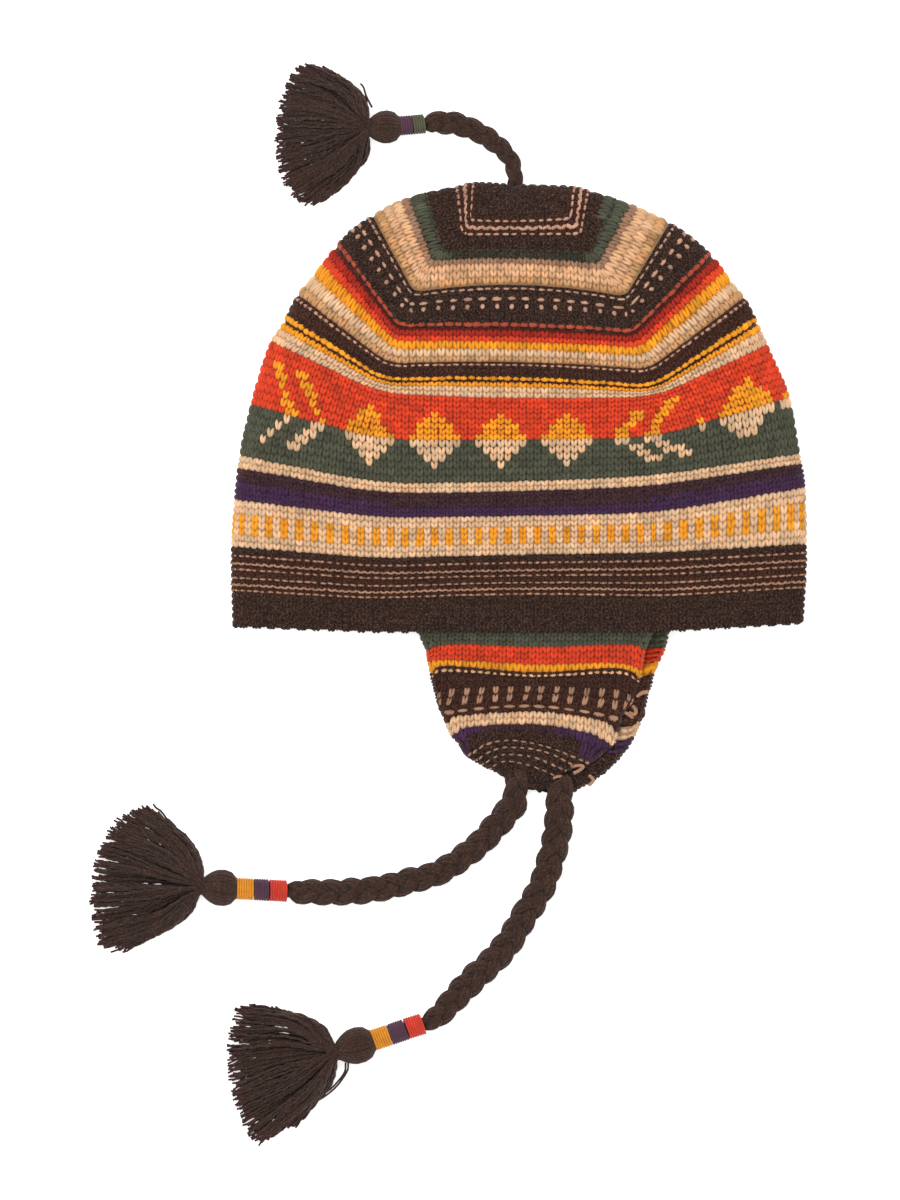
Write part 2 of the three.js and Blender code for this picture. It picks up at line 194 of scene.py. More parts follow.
def wool(name, colour=None, heather=0.0, fibre_bump=0.25, tips=False):
    """Matt carded wool. Without a colour it reads the colour attribute 'yarn'."""
    material = bpy.data.materials.new(name)
    material.use_nodes = True
    tree = material.node_tree
    tree.nodes.clear()
    place = add(tree, "ShaderNodeTexCoord").outputs["Object"]
    if colour is None:
        yarn = add(tree, "ShaderNodeAttribute", {"attribute_name": "yarn"})
        base, amount = yarn.outputs["Color"], yarn.outputs["Alpha"]
    else:
        yarn = add(tree, "ShaderNodeRGB")
        yarn.outputs[0].default_value = (*colour, 1)
        share = add(tree, "ShaderNodeValue")
        share.outputs[0].default_value = heather
        base, amount = yarn.outputs[0], share.outputs[0]
    if tips:
        run = add(tree, "ShaderNodeUVMap", {"uv_map": "UVMap"})
        along = add(tree, "ShaderNodeSeparateXYZ", links={0: run.outputs[0]})
        frayed = add(
            tree,
            "ShaderNodeMapRange",
            {"From Min": FRAYED_FROM, "From Max": 1.0},
            {"Value": along.outputs["X"]},
        )
        base = add(
            tree,
            "ShaderNodeMix",
            {"data_type": "RGBA", "B": (*FRAYED_TIP, 1)},
            {"Factor": frayed.outputs[0], "A": base},
        ).outputs["Result"]
    dye, fibre, fleck = (
        add(
            tree,
            "ShaderNodeTexNoise",
            {"Scale": 1 / (size * MM), "Detail": detail},
            {"Vector": place},
        ).outputs["Fac"]
        for size, detail in ((DYE, 2.0), (FIBRE, 2.0), (FLECK, 1.0))
    )
    for fleck_colour, full in ((FLECK_LIGHT, LIGHT_FULL), (FLECK_DARK, DARK_FULL)):
        shown = add(
            tree,
            "ShaderNodeMapRange",
            {"From Min": FLECK_BEGINS, "From Max": full},
            {"Value": fleck},
        )
        share = add(
            tree, "ShaderNodeMath", {"operation": "MULTIPLY"}, {0: shown.outputs[0], 1: amount}
        )
        base = add(
            tree,
            "ShaderNodeMix",
            {"data_type": "RGBA", "B": (*fleck_colour, 1)},
            {"Factor": share.outputs[0], "A": base},
        ).outputs["Result"]
    uneven, hairs = (
        add(
            tree,
            "ShaderNodeMapRange",
            {"From Min": 0.3, "From Max": 0.7, "To Min": darkest, "To Max": lightest},
            {"Value": noise},
        ).outputs[0]
        for noise, (darkest, lightest) in ((dye, DYE_SHADES), (fibre, FIBRE_SHADES))
    )
    shade = add(tree, "ShaderNodeMath", {"operation": "MULTIPLY"}, {0: uneven, 1: hairs})
    tinted = add(
        tree, "ShaderNodeVectorMath", {"operation": "SCALE"}, {0: base, "Scale": shade.outputs[0]}
    )
    relief = add(
        tree,
        "ShaderNodeBump",
        {"Strength": fibre_bump, "Distance": FIBRE_DEPTH * MM},
        {"Height": fibre},
    )
    surface = add(
        tree,
        "ShaderNodeBsdfPrincipled",
        {"Roughness": 0.95, "Specular IOR Level": 0.15, "Sheen Weight": 0.09, "Sheen Roughness": 0.6},
        {"Base Color": tinted.outputs[0], "Normal": relief.outputs[0]},
    )
    add(tree, "ShaderNodeOutputMaterial", links={"Surface": surface.outputs[0]})
    return material


knit_wool = wool("wool_knit_striped")
brown_wool = wool("wool_yarn_heather_brown", linear("#3a251c"), 0.4)
tassel_wool = wool("wool_yarn_heather_brown_cut", linear("#38231b"), 0.4, tips=True)
print("wools:", knit_wool.name, brown_wool.name, tassel_wool.name)

# %% [markdown]
# ## Yarn as a tube along a line
#
# Cords, wraps and fringes are all runs of yarn. Blender's curve object is the natural
# tool: it takes a line of points, a bevel gives it thickness, and the mesh made from it
# brings a UV map along, whose first number runs from 0 to 1 down the yarn. Hundreds of
# yarns fit in one curve object, one spline each.

# %% Yarns along lines
def finished(obj, material, replaces=()):
    """Gives a piece its material, hides the solids it replaces, and lets it ride on the hat's body."""
    obj.data.materials.clear()
    obj.data.materials.append(material)
    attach(obj, "root")
    if replaces:
        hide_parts(*replaces)
    return obj


def shade_smooth(mesh):
    """Lets light run smoothly over all faces of a mesh."""
    mesh.polygons.foreach_set("use_smooth", [True] * len(mesh.polygons))


def triangles(obj):
    """The number of triangles of a mesh object, before its modifiers."""
    return sum(len(face.vertices) - 2 for face in obj.data.polygons)


def yarn_mesh(name, lines, radius, sides=6):
    """A mesh object of yarns along lines of points in mm; radius is in mm, one for all
    yarns, or one list of values for each of them."""
    data = bpy.data.curves.new(name, "CURVE")
    data.dimensions = "3D"
    data.bevel_depth = MM
    # a bevel has four sides, and two more for each step of its resolution
    data.bevel_resolution = sides // 2 - 2
    data.use_fill_caps = True
    for number, line in enumerate(lines):
        spline = data.splines.new("POLY")
        spline.points.add(len(line) - 1)
        points = np.ones((len(line), 4))
        points[:, :3] = np.asarray(line) * MM
        spline.points.foreach_set("co", points.ravel())
        own = radius if np.isscalar(radius) else radius[number]
        spline.points.foreach_set("radius", np.broadcast_to(np.asarray(own, float), len(line)).copy())
    curve = bpy.data.objects.new(name + "_line", data)
    bpy.context.scene.collection.objects.link(curve)
    graph = bpy.context.evaluated_depsgraph_get()
    mesh = bpy.data.meshes.new_from_object(curve.evaluated_get(graph), depsgraph=graph)
    bpy.data.objects.remove(curve)
    bpy.data.curves.remove(data)
    mesh.name = name
    shade_smooth(mesh)
    obj = bpy.data.objects.new(name, mesh)
    bpy.context.scene.collection.objects.link(obj)
    return obj


# %% [markdown]
# ## Cords
#
# Each cord starts at a tip of the knit, runs as a three-strand plait, and narrows under
# its coloured wraps to the head of a tassel. The routes are the ones of the solid model,
# point for point. A strand of a plait swings from side to side once while it dips and
# rises twice, and the three strands are a third of a swing apart. Each strand is a
# bundle of yarns, so it shows lengthwise lines.

# %% Routes
ROUTES = {
    "top": [
        (-1.8, 138.5, 9), (-2.1, 143.4, 8.7), (-4.6, 149.5, 7.2), (-9.9, 154.8, 6), (-16.2, 159.3, 5.6),
        (-22, 162.2, 5.6), (-29, 164.3, 5.6), (-35.5, 165, 5.6), (-41.5, 164.4, 5.9),
        (-47.5, 163.8, 6.6), (-53.5, 163.3, 7.3),
    ],
    "near": [
        (-1.5, -136.6, 6.1), (-2.2, -141, 6.1), (-6, -146.5, 6.1), (-11.3, -152.6, 6.1),
        (-18.9, -160.7, 6.1), (-28.4, -167.9, 6.1), (-38.3, -173.3, 6.1), (-49.5, -176.4, 6.1),
        (-61.7, -179.4, 6.1), (-73.4, -181, 6.1), (-85.5, -181.4, 6.1), (-96, -181.2, 6.1),
        (-104, -180.9, 6.4), (-115.4, -180.3, 7.4), (-127, -179.7, 8.4),
    ],
    "far": [
        (18.2, -138.6, 6.6), (18.2, -143, 6.6), (18, -148, 6.6), (17.2, -154.5, 6.6), (15.6, -162, 6.6),
        (13, -171, 6.6), (9.6, -180, 6.6), (3.6, -190, 6.6), (-2.7, -200.7, 6.6), (-10.5, -211, 6.6),
        (-20.3, -220, 6.6), (-28.7, -229, 6.6), (-35.4, -236.4, 6.6), (-40.2, -239.4, 6.75),
        (-48.7, -242.2, 7.3), (-57.2, -245.1, 7.85), (-65.6, -247.9, 8.4),
    ],
}
WRAPS = {
    "top": [("green", 5.7), ("purple", 5.2)],
    "near": [("red", 7.9), ("purple", 6.5), ("yellow", 7.7)],
    "far": [("red", 7.9), ("purple", 7.3), ("yellow", 7.7)],
}
# between the wraps, and between the last wrap and the head
GAP = 0.3
# points of a smooth curve between two given ones
CURVE_STEPS = 12


def even_line(points, spacing):
    """A smooth curve through points, as points about one spacing apart."""
    points = np.array(points, float)
    ends = np.vstack([2 * points[0] - points[1], points, 2 * points[-1] - points[-2]])
    share = np.linspace(0, 1, CURVE_STEPS, endpoint=False)[:, None]
    pieces = []
    for a, b, c, d in zip(ends, ends[1:], ends[2:], ends[3:]):
        square = 2 * a - 5 * b + 4 * c - d
        cube = 3 * b - a - 3 * c + d
        pieces.append(0.5 * (2 * b + (c - a) * share + square * share**2 + cube * share**3))
    fine = np.vstack([*pieces, points[-1:]])
    return resampled(fine, spacing)


def spread(line, count):
    """The same line with a number of evenly spaced points."""
    along = np.concatenate([[0], np.cumsum(np.linalg.norm(np.diff(line, axis=0), axis=1))])
    at = np.linspace(0, along[-1], count)
    return np.stack([np.interp(at, along, line[:, axis]) for axis in range(3)], axis=1)


def resampled(line, spacing):
    """The same line with points about one spacing apart."""
    return spread(line, max(2, round(length_of(line) / spacing) + 1))


def length_of(line):
    """The length of a line of points."""
    return float(np.linalg.norm(np.diff(line, axis=0), axis=1).sum())


def frames_along(line):
    """Forward, sideways and upright directions at each point of a line."""
    forward = unit(np.gradient(line, axis=0))
    side = unit(np.cross(UP, forward))
    return forward, side, np.cross(forward, side)


centre_lines = {name: even_line(points, 0.5) for name, points in ROUTES.items()}
wrapped = {name: sum(length + GAP for _, length in wraps) for name, wraps in WRAPS.items()}
for name, line in centre_lines.items():
    print("cord", name, round(length_of(line), 1), "mm, of which wrapped", round(wrapped[name], 1))

# %% [markdown]
# The plait's width changes along its way, as in the photo: the top cord starts thin and
# widens towards its wraps, and the ties are thickest just after they leave the flaps.
# Widths are the half-widths of the whole plait at shares of its free length.

# %% Plaits
# name: shares of the free length and half-widths of the plait there, in mm
PLAIT_WIDTH = {
    "top": ([0, 0.12, 0.5, 0.85, 0.96, 1], [3.6, 4.0, 5.0, 5.7, 4.6, 2.8]),
    "near": ([0, 0.05, 0.3, 0.8, 0.96, 1], [5.6, 6.5, 6.1, 6.3, 5.8, 3.2]),
    "far": ([0, 0.05, 0.3, 0.8, 0.96, 1], [6.2, 7.0, 6.6, 6.6, 5.4, 3.2]),
}
# length in which a strand swings to both sides once
PLAIT_LAY = {"top": 24.0, "near": 27.0, "far": 27.0}
STRAND_YARNS = 8
STRAND_PHASE = 0.21     # from strand to strand, the yarns start a share of a turn on
YARN_WANDER = 0.12      # how far a yarn strays from its place
STRAND_SHARE = 0.47     # a strand's half-width in half-widths of the plait
DEPTH_SHARE = 0.4       # how far a strand dips, in half-widths of the plait
YARN_SHARE = 0.34       # a yarn's half-width in half-widths of its strand
STRAND_TWIST = 55.0     # length of one turn of the yarns round their strand
PLAIT_STEP = 1.4        # from one point of a yarn to the next
LOWEST = 1.2            # of a yarn's middle over the table
# the strands are rooted this far inside the knit, and sink this much there
ROOTS = {"top": 4.0, "near": 8.0, "far": 6.5}
ROOT_SHARES = (1, 0.66, 0.33)
ROOT_DROP = 3.0


def rooted_line(name):
    """A cord's centre line with its root in the knit."""
    start = centre_lines[name][0]
    backwards = unit(start - centre_lines[name][3]) * [1, 1, 0]
    root = [
        start + backwards * ROOTS[name] * share - UP * ROOT_DROP * share**2
        for share in ROOT_SHARES
    ]
    return np.vstack([root, centre_lines[name]])


def plait(name):
    """The three strands of a cord as lines and widths of yarns."""
    line = resampled(rooted_line(name), PLAIT_STEP)
    along = np.linspace(0, length_of(line), len(line)) - ROOTS[name]
    free = along[-1] - wrapped[name]
    half = np.interp(along / free, *PLAIT_WIDTH[name])
    _, side, upright = frames_along(line)
    lines = []
    widths = []
    for strand in range(3):
        swing = 2 * np.pi * (along / PLAIT_LAY[name] + strand / 3)
        across = half * (1 - STRAND_SHARE) * np.sin(swing)
        height = half * DEPTH_SHARE * np.sin(2 * swing)
        centre = line + side * across[:, None] + upright * height[:, None]
        _, strand_side, strand_up = frames_along(centre)
        strand_half = half * STRAND_SHARE * (1 + chance.uniform(-0.05, 0.05))
        for yarn in range(STRAND_YARNS):
            turns = yarn / STRAND_YARNS + along / STRAND_TWIST + strand * STRAND_PHASE
            turn = 2 * np.pi * turns
            reach = strand_half * (1 - YARN_SHARE)
            wander = YARN_WANDER * np.sin(along / chance.uniform(2.5, 5) + chance.uniform(0, 6))
            lines.append(
                centre
                + strand_side * ((reach + wander) * np.cos(turn))[:, None]
                + strand_up * (reach * np.sin(turn))[:, None]
            )
            widths.append(strand_half * YARN_SHARE)
    for run in lines:
        run[:, 2] = np.maximum(run[:, 2], LOWEST)
    return lines, widths


def add_plait(name):
    """A cord's plait as one mesh."""
    lines, widths = plait(name)
    obj = yarn_mesh("braid_" + name + "_yarns", lines, widths)
    finished(obj, brown_wool, ["braid_" + name])
    print(obj.name, len(lines), "yarns,", triangles(obj), "triangles")
    return obj


plaits = {name: add_plait(name) for name in ROUTES}

# %% [markdown]
# The wraps are smooth thread wound tightly round the cord's end, one turn beside the
# next. A turn of thread is a helix: a small circle is spun round the cord's axis while
# it advances by one thread for each turn, which is just what the spin operator does
# with a step along its axis.

# %% Wraps
WRAP_RADIUS = {"top": 4.5, "near": 5.0, "far": 5.0}
THREAD = 1.1
# a helix covers only part of the round at its ends, so its middle line is shorter than
# the wrap by no more than this share of a thread
END_SHARE = 0.2
TURN_STEPS = 20
WRAP_COLOURS = {"green": "#575742", "purple": "#563448", "red": "#d23c28", "yellow": "#dd9022"}
wrap_wools = {
    name: wool("wool_thread_wound_" + name, linear(code), 0.1, fibre_bump=0.4)
    for name, code in WRAP_COLOURS.items()
}


def wound_thread(name, length, radius, place, direction, material, node):
    """Thread wound round a cord's end: a circle spun into a helix, then set in place."""
    mesh = bmesh.new()
    ring = bmesh.ops.create_circle(mesh, cap_ends=False, segments=6, radius=THREAD / 2)
    bmesh.ops.rotate(mesh, verts=ring["verts"], matrix=Matrix.Rotation(math.pi / 2, 3, "X"))
    advance = length - END_SHARE * THREAD
    bmesh.ops.translate(mesh, verts=ring["verts"], vec=(radius - THREAD / 2, 0, -advance / 2))
    turns = advance / THREAD
    steps = round(turns * TURN_STEPS)
    bmesh.ops.spin(
        mesh,
        geom=mesh.verts[:] + mesh.edges[:],
        cent=(0, 0, 0),
        axis=(0, 0, 1),
        dvec=(0, 0, advance / steps),
        angle=2 * math.pi * turns,
        steps=steps,
        use_merge=False,
        use_duplicate=False,
    )
    bmesh.ops.holes_fill(mesh, edges=[e for e in mesh.edges if e.is_boundary], sides=8)
    bmesh.ops.recalc_face_normals(mesh, faces=mesh.faces)
    turn = Vector(direction).to_track_quat("Z", "Y").to_matrix()
    bmesh.ops.rotate(mesh, verts=mesh.verts, matrix=turn)
    bmesh.ops.translate(mesh, verts=mesh.verts, vec=place)
    bmesh.ops.scale(mesh, verts=mesh.verts, vec=(MM, MM, MM))
    data = bpy.data.meshes.new(name)
    mesh.to_mesh(data)
    mesh.free()
    shade_smooth(data)
    obj = bpy.data.objects.new(name, data)
    bpy.context.scene.collection.objects.link(obj)
    finished(obj, material, [node])
    return obj


def add_wraps(name):
    """The wraps of a cord, one after the other, up to its end."""
    line = centre_lines[name]
    forward, _, _ = frames_along(line)
    along = np.linspace(0, length_of(line), len(line))
    at = along[-1] - wrapped[name]
    made = []
    for colour, length in WRAPS[name]:
        middle = at + GAP + length / 2
        number = int(np.searchsorted(along, middle))
        made.append(
            wound_thread(
                "wrap_" + name + "_" + colour + "_thread",
                length,
                WRAP_RADIUS[name],
                line[number],
                forward[number],
                wrap_wools[colour],
                "wrap_" + name + "_" + colour,
            )
        )
        at += length + GAP
    return made


wraps = {name: add_wraps(name) for name in ROUTES}
for name, made in wraps.items():
    print("wraps on", name, [obj.name for obj in made], sum(map(triangles, made)), "triangles")

# %% [markdown]
# ## Tassels
#
# A tassel's yarns are laid over the cord, tied at the neck and cut. Above the neck they
# make a round head, below it they fan out over the table. Each yarn is a line of its
# own: it leaves the neck, swings out, and falls to the table, crimped by the plying it
# had. Yarns cling together in locks, which share the fan between them without gaps.
# How far the fan reaches in each direction is read from the photo's outline.

# %% Tassel shapes
HEADS = {"top": (13.5, 7.5), "near": (14.4, 8.3), "far": (16.0, 8.3)}
HEAD_PROFILE = ([0, 0.14, 0.36, 0.62, 0.86, 1, 1.15], [0.5, 0.86, 1, 0.97, 0.74, 0.5, 0.36])
# name: directions from the cord's own, in degrees, and how far the fringe reaches there
FRINGES = {
    "top": (
        [-68, -55, -44, -33, -20, -6, 6, 18, 30, 42, 52, 62],
        [24, 37, 43.5, 42, 42, 42, 43, 44, 46, 46, 38, 24],
    ),
    "near": (
        [-62, -52, -42, -30, -18, -8, 2, 12, 22, 32, 41, 50],
        [24, 44, 47, 50, 49.5, 50, 50, 51.5, 52, 54, 46, 26],
    ),
    "far": (
        [-60, -50, -42, -30, -18, -6, 4, 14, 22, 30, 38, 46],
        [24, 38, 50, 49.5, 50, 50, 51.5, 52, 54.5, 55.5, 40, 24],
    ),
}
FRINGE_LOCKS, LOCK_YARNS = 62, 7
LOCK_WIDE, LOCK_DEEP = 0.016, 0.12  # spread of a lock's yarns, in shares of the fan
FRINGE_STEPS = 22
CUT = (0.9, 1.02)       # shortest and longest yarn, in shares of the outline
NECK_SPREAD = 1.2       # of the yarns where they leave the neck
FRINGE_YARN = 0.46      # half-width of a yarn
CRIMP = 6.2             # length of a wave of its crimp
FRINGE_HEIGHT = 14.0    # of the fan near the neck
SWING_OUT = 1.28        # how much wider than at its tip a yarn leaves the neck
KNEE, BELLY = 0.16, 0.52    # shares of a yarn where it turns over the neck, and hangs
CRIMP_ASIDE, CRIMP_UP = 0.3, 0.25
BOWS = 1.2              # waves of a whole lock, and how far it bows
BOW_ASIDE, BOW_UP = 0.45, 0.4
HEAD_YARNS = 30
HEAD_TWIST = 0.25       # of the head's yarns, in radians from end to end
HEAD_YARN = 0.115       # half-width of such a yarn, in radii of the head
CORE_SHARE = 0.55       # of the head's radius is filled by a core


def head_yarns(name, start, forward, side, upright):
    """Yarns that run lengthwise over the head of a tassel."""
    length, radius = HEADS[name]
    shares = np.linspace(-0.04, 1.12, 12)
    wide = np.interp(shares, *HEAD_PROFILE) * radius
    lines = []
    widths = []
    for yarn in range(HEAD_YARNS):
        turn = 2 * np.pi * (yarn / HEAD_YARNS) + HEAD_TWIST * shares + chance.uniform(-0.05, 0.05)
        thick = HEAD_YARN * radius * (0.4 + 0.6 * wide / radius)
        reach = wide - thick
        lines.append(
            start
            + np.outer(shares * length, forward)
            + np.outer(reach * np.cos(turn), side)
            + np.outer(reach * np.sin(turn), upright)
        )
        widths.append(thick)
    return lines, widths


def fringe_yarns(name, neck, forward):
    """The cut yarns of a tassel, from the neck to their tips on the table."""
    heading = math.atan2(forward[1], forward[0])
    angles, reaches = FRINGES[name]
    lines = []
    for lock in range(FRINGE_LOCKS):
        place = (lock + chance.uniform(0, 1)) / FRINGE_LOCKS
        lock_layer = chance.uniform(0, 1)
        lock_turn, lock_phase = chance.normal(0, 1, 2)
        for _ in range(LOCK_YARNS):
            layer = np.clip(lock_layer + chance.normal(0, LOCK_DEEP), 0, 1)
            share = np.clip(place + chance.normal(0, LOCK_WIDE), 0.01, 0.99)
            angle = np.interp(share, np.linspace(0, 1, len(angles)), angles)
            reach = np.interp(angle, angles, reaches) * chance.uniform(*CUT)
            swing = heading + math.radians(angle * (SWING_OUT + 0.03 * lock_turn))
            final = heading + math.radians(angle + 0.8 * lock_turn + chance.normal(0, 1.0))
            # the fan is highest in its middle
            height = FRINGE_HEIGHT * (0.25 + 0.75 * layer) * (1 - 0.35 * abs(angle) / 70)
            outwards = np.array([math.cos(swing), math.sin(swing), 0])
            tip = np.array([math.cos(final), math.sin(final), 0])
            knots = neck + reach * np.array([0 * tip, KNEE * outwards, BELLY * outwards, tip])
            knots[0, :2] += chance.normal(0, NECK_SPREAD, 2)
            # heights at the neck, over the knee, in the belly and at the tip
            knots[:, 2] = (
                neck[2] + 4 * (layer - 0.5),
                neck[2] + 9 * (layer - 0.45),
                0.6 + 0.75 * height,
                0.5 + 0.28 * height * chance.uniform(0.3, 1),
            )
            run = spread(even_line(knots, 1.0), FRINGE_STEPS + 1)
            along = np.linspace(0, 1, FRINGE_STEPS + 1)
            _, side, upright = frames_along(run)
            loose = smoothstep(along, 0.05, 0.3)
            wave = 2 * np.pi * (along * reach / CRIMP + chance.uniform(0, 1))
            bow = 2 * np.pi * (BOWS * along + lock_phase)
            aside = CRIMP_ASIDE * np.sin(wave) + BOW_ASIDE * np.sin(bow)
            upwards = CRIMP_UP * np.cos(wave) + BOW_UP * np.cos(bow)
            run = run + side * (loose * aside)[:, None] + upright * (loose * upwards)[:, None]
            run[:, 2] = np.maximum(run[:, 2], FRINGE_YARN + 0.08)
            lines.append(run)
    return lines


# yarns that hang loose beside a fringe, as x y of their points in mm
STRAYS = {
    "top": [[(-66.1, 171.6), (-68.6, 176.5), (-70.0, 180.8), (-71.4, 182.4)]],
    "near": [],
    "far": [
        [(-76.9, -257.4), (-77.3, -261.9), (-82.6, -269.3), (-90.2, -275.0), (-95.6, -276.0)],
        [(-78.0, -258.0), (-78.6, -262.6), (-84.4, -269.6), (-91.0, -273.8), (-96.0, -274.4)],
        [(-111.8, -281.0), (-111.6, -286.0), (-111.9, -291.4)],
        [(-114.0, -282.0), (-114.8, -285.6), (-115.6, -288.8)],
    ],
}


def stray_yarns(name, neck):
    """Loose yarns beside a fringe, that sink to the table away from the neck."""
    lines = []
    for points in STRAYS[name]:
        flat = np.array(points)
        away = np.linalg.norm(flat - neck[:2], axis=1)
        height = np.maximum(neck[2] * (1 - smoothstep(away, 4, 26)), 1.0)
        lines.append(spread(even_line(np.column_stack([flat, height]), 1.0), FRINGE_STEPS + 1))
    return lines


def add_tassel(name):
    """A tassel in three pieces: the yarns of its head, the core in it, and the fringe."""
    line = centre_lines[name]
    forward, side, upright = (directions[-1] for directions in frames_along(line))
    start = line[-1] + forward * GAP
    neck = start + forward * HEADS[name][0]
    lines, widths = head_yarns(name, start, forward, side, upright)
    head = yarn_mesh("tassel_" + name + "_head_yarns", lines, widths)
    finished(head, brown_wool, ["tassel_" + name])
    core_lines = [np.array([start + forward * 1.0, neck])]
    core_width = [HEADS[name][1] * CORE_SHARE]
    core = yarn_mesh("tassel_" + name + "_core", core_lines, core_width, sides=10)
    finished(core, brown_wool)
    yarns = fringe_yarns(name, neck, forward) + stray_yarns(name, neck)
    fringe = yarn_mesh("tassel_" + name + "_fringe", yarns, FRINGE_YARN, sides=4)
    finished(fringe, tassel_wool, ["tassel_" + name])
    print("tassel", name, triangles(head) + triangles(core) + triangles(fringe), "triangles")
    return [head, core, fringe]


tassels = {name: add_tassel(name) for name in ROUTES}

# %% [markdown] Cords made

print("declared", len(centre_lines), "cords")

# %% [markdown]
# ## The course map of the crown
#
# Knitting is a grid of its own. A course is one row of stitches round the hat, a wale is
# one column of them. The crown is knitted in four wedges: as it narrows, stitches are
# lost along the corners between the wedges, so that from above the courses look like
# nested squares. Folded flat on its side, the hat shows one whole wedge in the middle
# and half a wedge on each side of it. The table has some courses, counted from the hem,
# with their places seen from above, in millimetres.

# %% Courses of the crown
# row, left fold x y, left corner x y, middle y, right corner x y, right fold x y, and
# how softly the corners are rounded
COURSES = np.array([
    (0, -129.0, -61.5, -62.5, -64.0, -64.0, 61.5, -64.0, 128.0, -60.0, 14),
    (12, -129.5, -43.7, -62.5, -47.6, -45.6, 61.5, -46.4, 129.1, -42.4, 14),
    (18, -129.7, -34.8, -62.5, -39.5, -38.0, 61.5, -37.6, 129.5, -33.6, 14),
    (24, -129.6, -26.0, -62.5, -31.3, -29.7, 61.5, -28.8, 129.6, -24.8, 14),
    (36, -128.3, -5.0, -62.5, -13.2, -12.4, 61.5, -11.0, 129.0, 0.4, 16),
    (47, -126.0, 14.9, -62.5, 2.3, 3.2, 61.5, 5.8, 126.5, 15.8, 18),
    (60, -121.0, 37.8, -62.5, 22.0, 22.0, 61.2, 23.0, 122.0, 41.0, 16),
    (73, -112.0, 66.6, -62.5, 43.0, 40.7, 61.7, 41.4, 112.0, 64.8, 12),
    (77, -107.1, 73.8, -61.2, 46.9, 46.8, 59.9, 43.8, 108.5, 72.9, 9),
    (84, -99.9, 87.8, -58.5, 56.2, 56.9, 58.0, 53.6, 101.7, 86.4, 7),
    (88, -93.6, 95.0, -56.7, 61.8, 61.9, 56.3, 59.0, 96.3, 92.7, 6),
    (94, -84.2, 107.6, -54.9, 70.8, 70.6, 51.8, 68.0, 88.7, 103.5, 5),
    (101, -76.0, 116.6, -51.3, 79.0, 81.0, 50.0, 77.2, 79.7, 112.0, 4),
    (108, -66.2, 123.3, -47.3, 88.2, 91.6, 47.7, 86.2, 68.0, 120.2, 4),
    (117, -50.0, 131.4, -39.2, 102.2, 103.3, 35.6, 100.8, 50.4, 128.3, 3),
    (124.6, -28.2, 136.3, -25.6, 114.2, 114.3, 27.6, 114.4, 31.2, 134.5, 3),
    (129, -19.8, 138.2, -21.6, 121.5, 121.0, 22.5, 122.4, 24.3, 136.4, 2),
    (140, -1.8, 137.3, -1.8, 137.3, 137.3, -1.8, 137.3, -1.8, 137.3, 1),
])
ROWS = 140


def through(at, places, values):
    """Values at any place, on a smooth curve through a table that never overshoots."""
    at = np.clip(np.asarray(at, float), places[0], places[-1])
    step = np.diff(places)
    slope = np.diff(values) / step
    same = slope[:-1] * slope[1:] > 0
    both = np.where(same, slope[:-1] + slope[1:], 1)
    inner = np.where(same, 2 * slope[:-1] * slope[1:] / both, 0)
    tangent = np.concatenate([slope[:1], inner, slope[-1:]])
    below = np.clip(np.searchsorted(places, at, side="right") - 1, 0, len(step) - 1)
    share = (at - places[below]) / step[below]
    rise = step[below]
    return (
        (1 + 2 * share) * (1 - share) ** 2 * values[below]
        + share * (1 - share) ** 2 * rise * tangent[below]
        + share**2 * (3 - 2 * share) * values[below + 1]
        + share**2 * (share - 1) * rise * tangent[below + 1]
    )


def course_column(rows, number):
    """One column of the table at any rows."""
    return through(rows, COURSES[:, 0], COURSES[:, number])


def course_marks(rows):
    """Left fold, left corner, right corner and right fold of courses, and their middle."""
    pairs = [np.stack([course_column(rows, i), course_column(rows, i + 1)], -1) for i in (1, 3, 6, 8)]
    return *pairs, course_column(rows, 5), course_column(rows, 10)


def plan(rows, part, share):
    """Places of courses seen from above: part is left, middle or right, share runs from
    the fold to the corner, or from the left to the right corner."""
    left_fold, left_corner, right_corner, right_fold, middle, soft = course_marks(rows)
    share = np.asarray(share, float)[..., None]
    sag = (middle - (left_corner[..., 1] + right_corner[..., 1]) / 2)[..., None]
    span = right_corner - left_corner
    if part == "middle":
        # a parabola through both corners and the middle
        place = left_corner + span * share
        place[..., 1:] += 4 * sag * share * (1 - share)
        near_right = share > 0.5
        corner = np.where(near_right, right_corner, left_corner)
        fold = np.where(near_right, right_fold, left_fold)
        facing = np.where(near_right, -1.0, 1.0)
    else:
        corner, fold = (left_corner, left_fold) if part == "left" else (right_corner, right_fold)
        facing = np.full_like(share, 1.0 if part == "left" else -1.0)
        place = fold + (corner - fold) * share
    inward = unit(span * facing + np.concatenate([np.zeros_like(sag), 4 * sag], -1))
    outward = unit(fold - corner + 1e-6)
    # near the corner both lines are drawn into a round one
    away = np.linalg.norm(place - corner, axis=-1, keepdims=True)
    reach = np.minimum(soft[..., None], 0.45 * np.linalg.norm(span, axis=-1, keepdims=True) + 0.01)
    bend = np.clip(reach - away, 0, None) ** 2 / (4 * reach)
    return place + bend * (inward + outward)


rows_of_fold = np.arange(0, ROWS + 1.0)
FOLD_LINE = np.vstack([
    plan(rows_of_fold, "left", np.zeros(ROWS + 1)),
    plan(rows_of_fold[::-1], "right", np.zeros(ROWS + 1)),
])
print("the fold is", round(float(np.linalg.norm(np.diff(FOLD_LINE, axis=0), axis=1).sum())), "mm long")

# %% [markdown]
# The folded hat is two layers that meet in a rounded fold. The upper one rises from the
# fold in a quarter of an ellipse and is then nearly level; the lower one lies on the
# table. These are the heights of the solid model.

# %% Heights of the crown
FOLD_HEIGHT = 9.0
# heights of the upper layer at the hem and in mid crown, and how far apart those are
HEM_LOFT, CROWN_LOFT, LOFT_RISE = 20.0, 24.0, 70.0
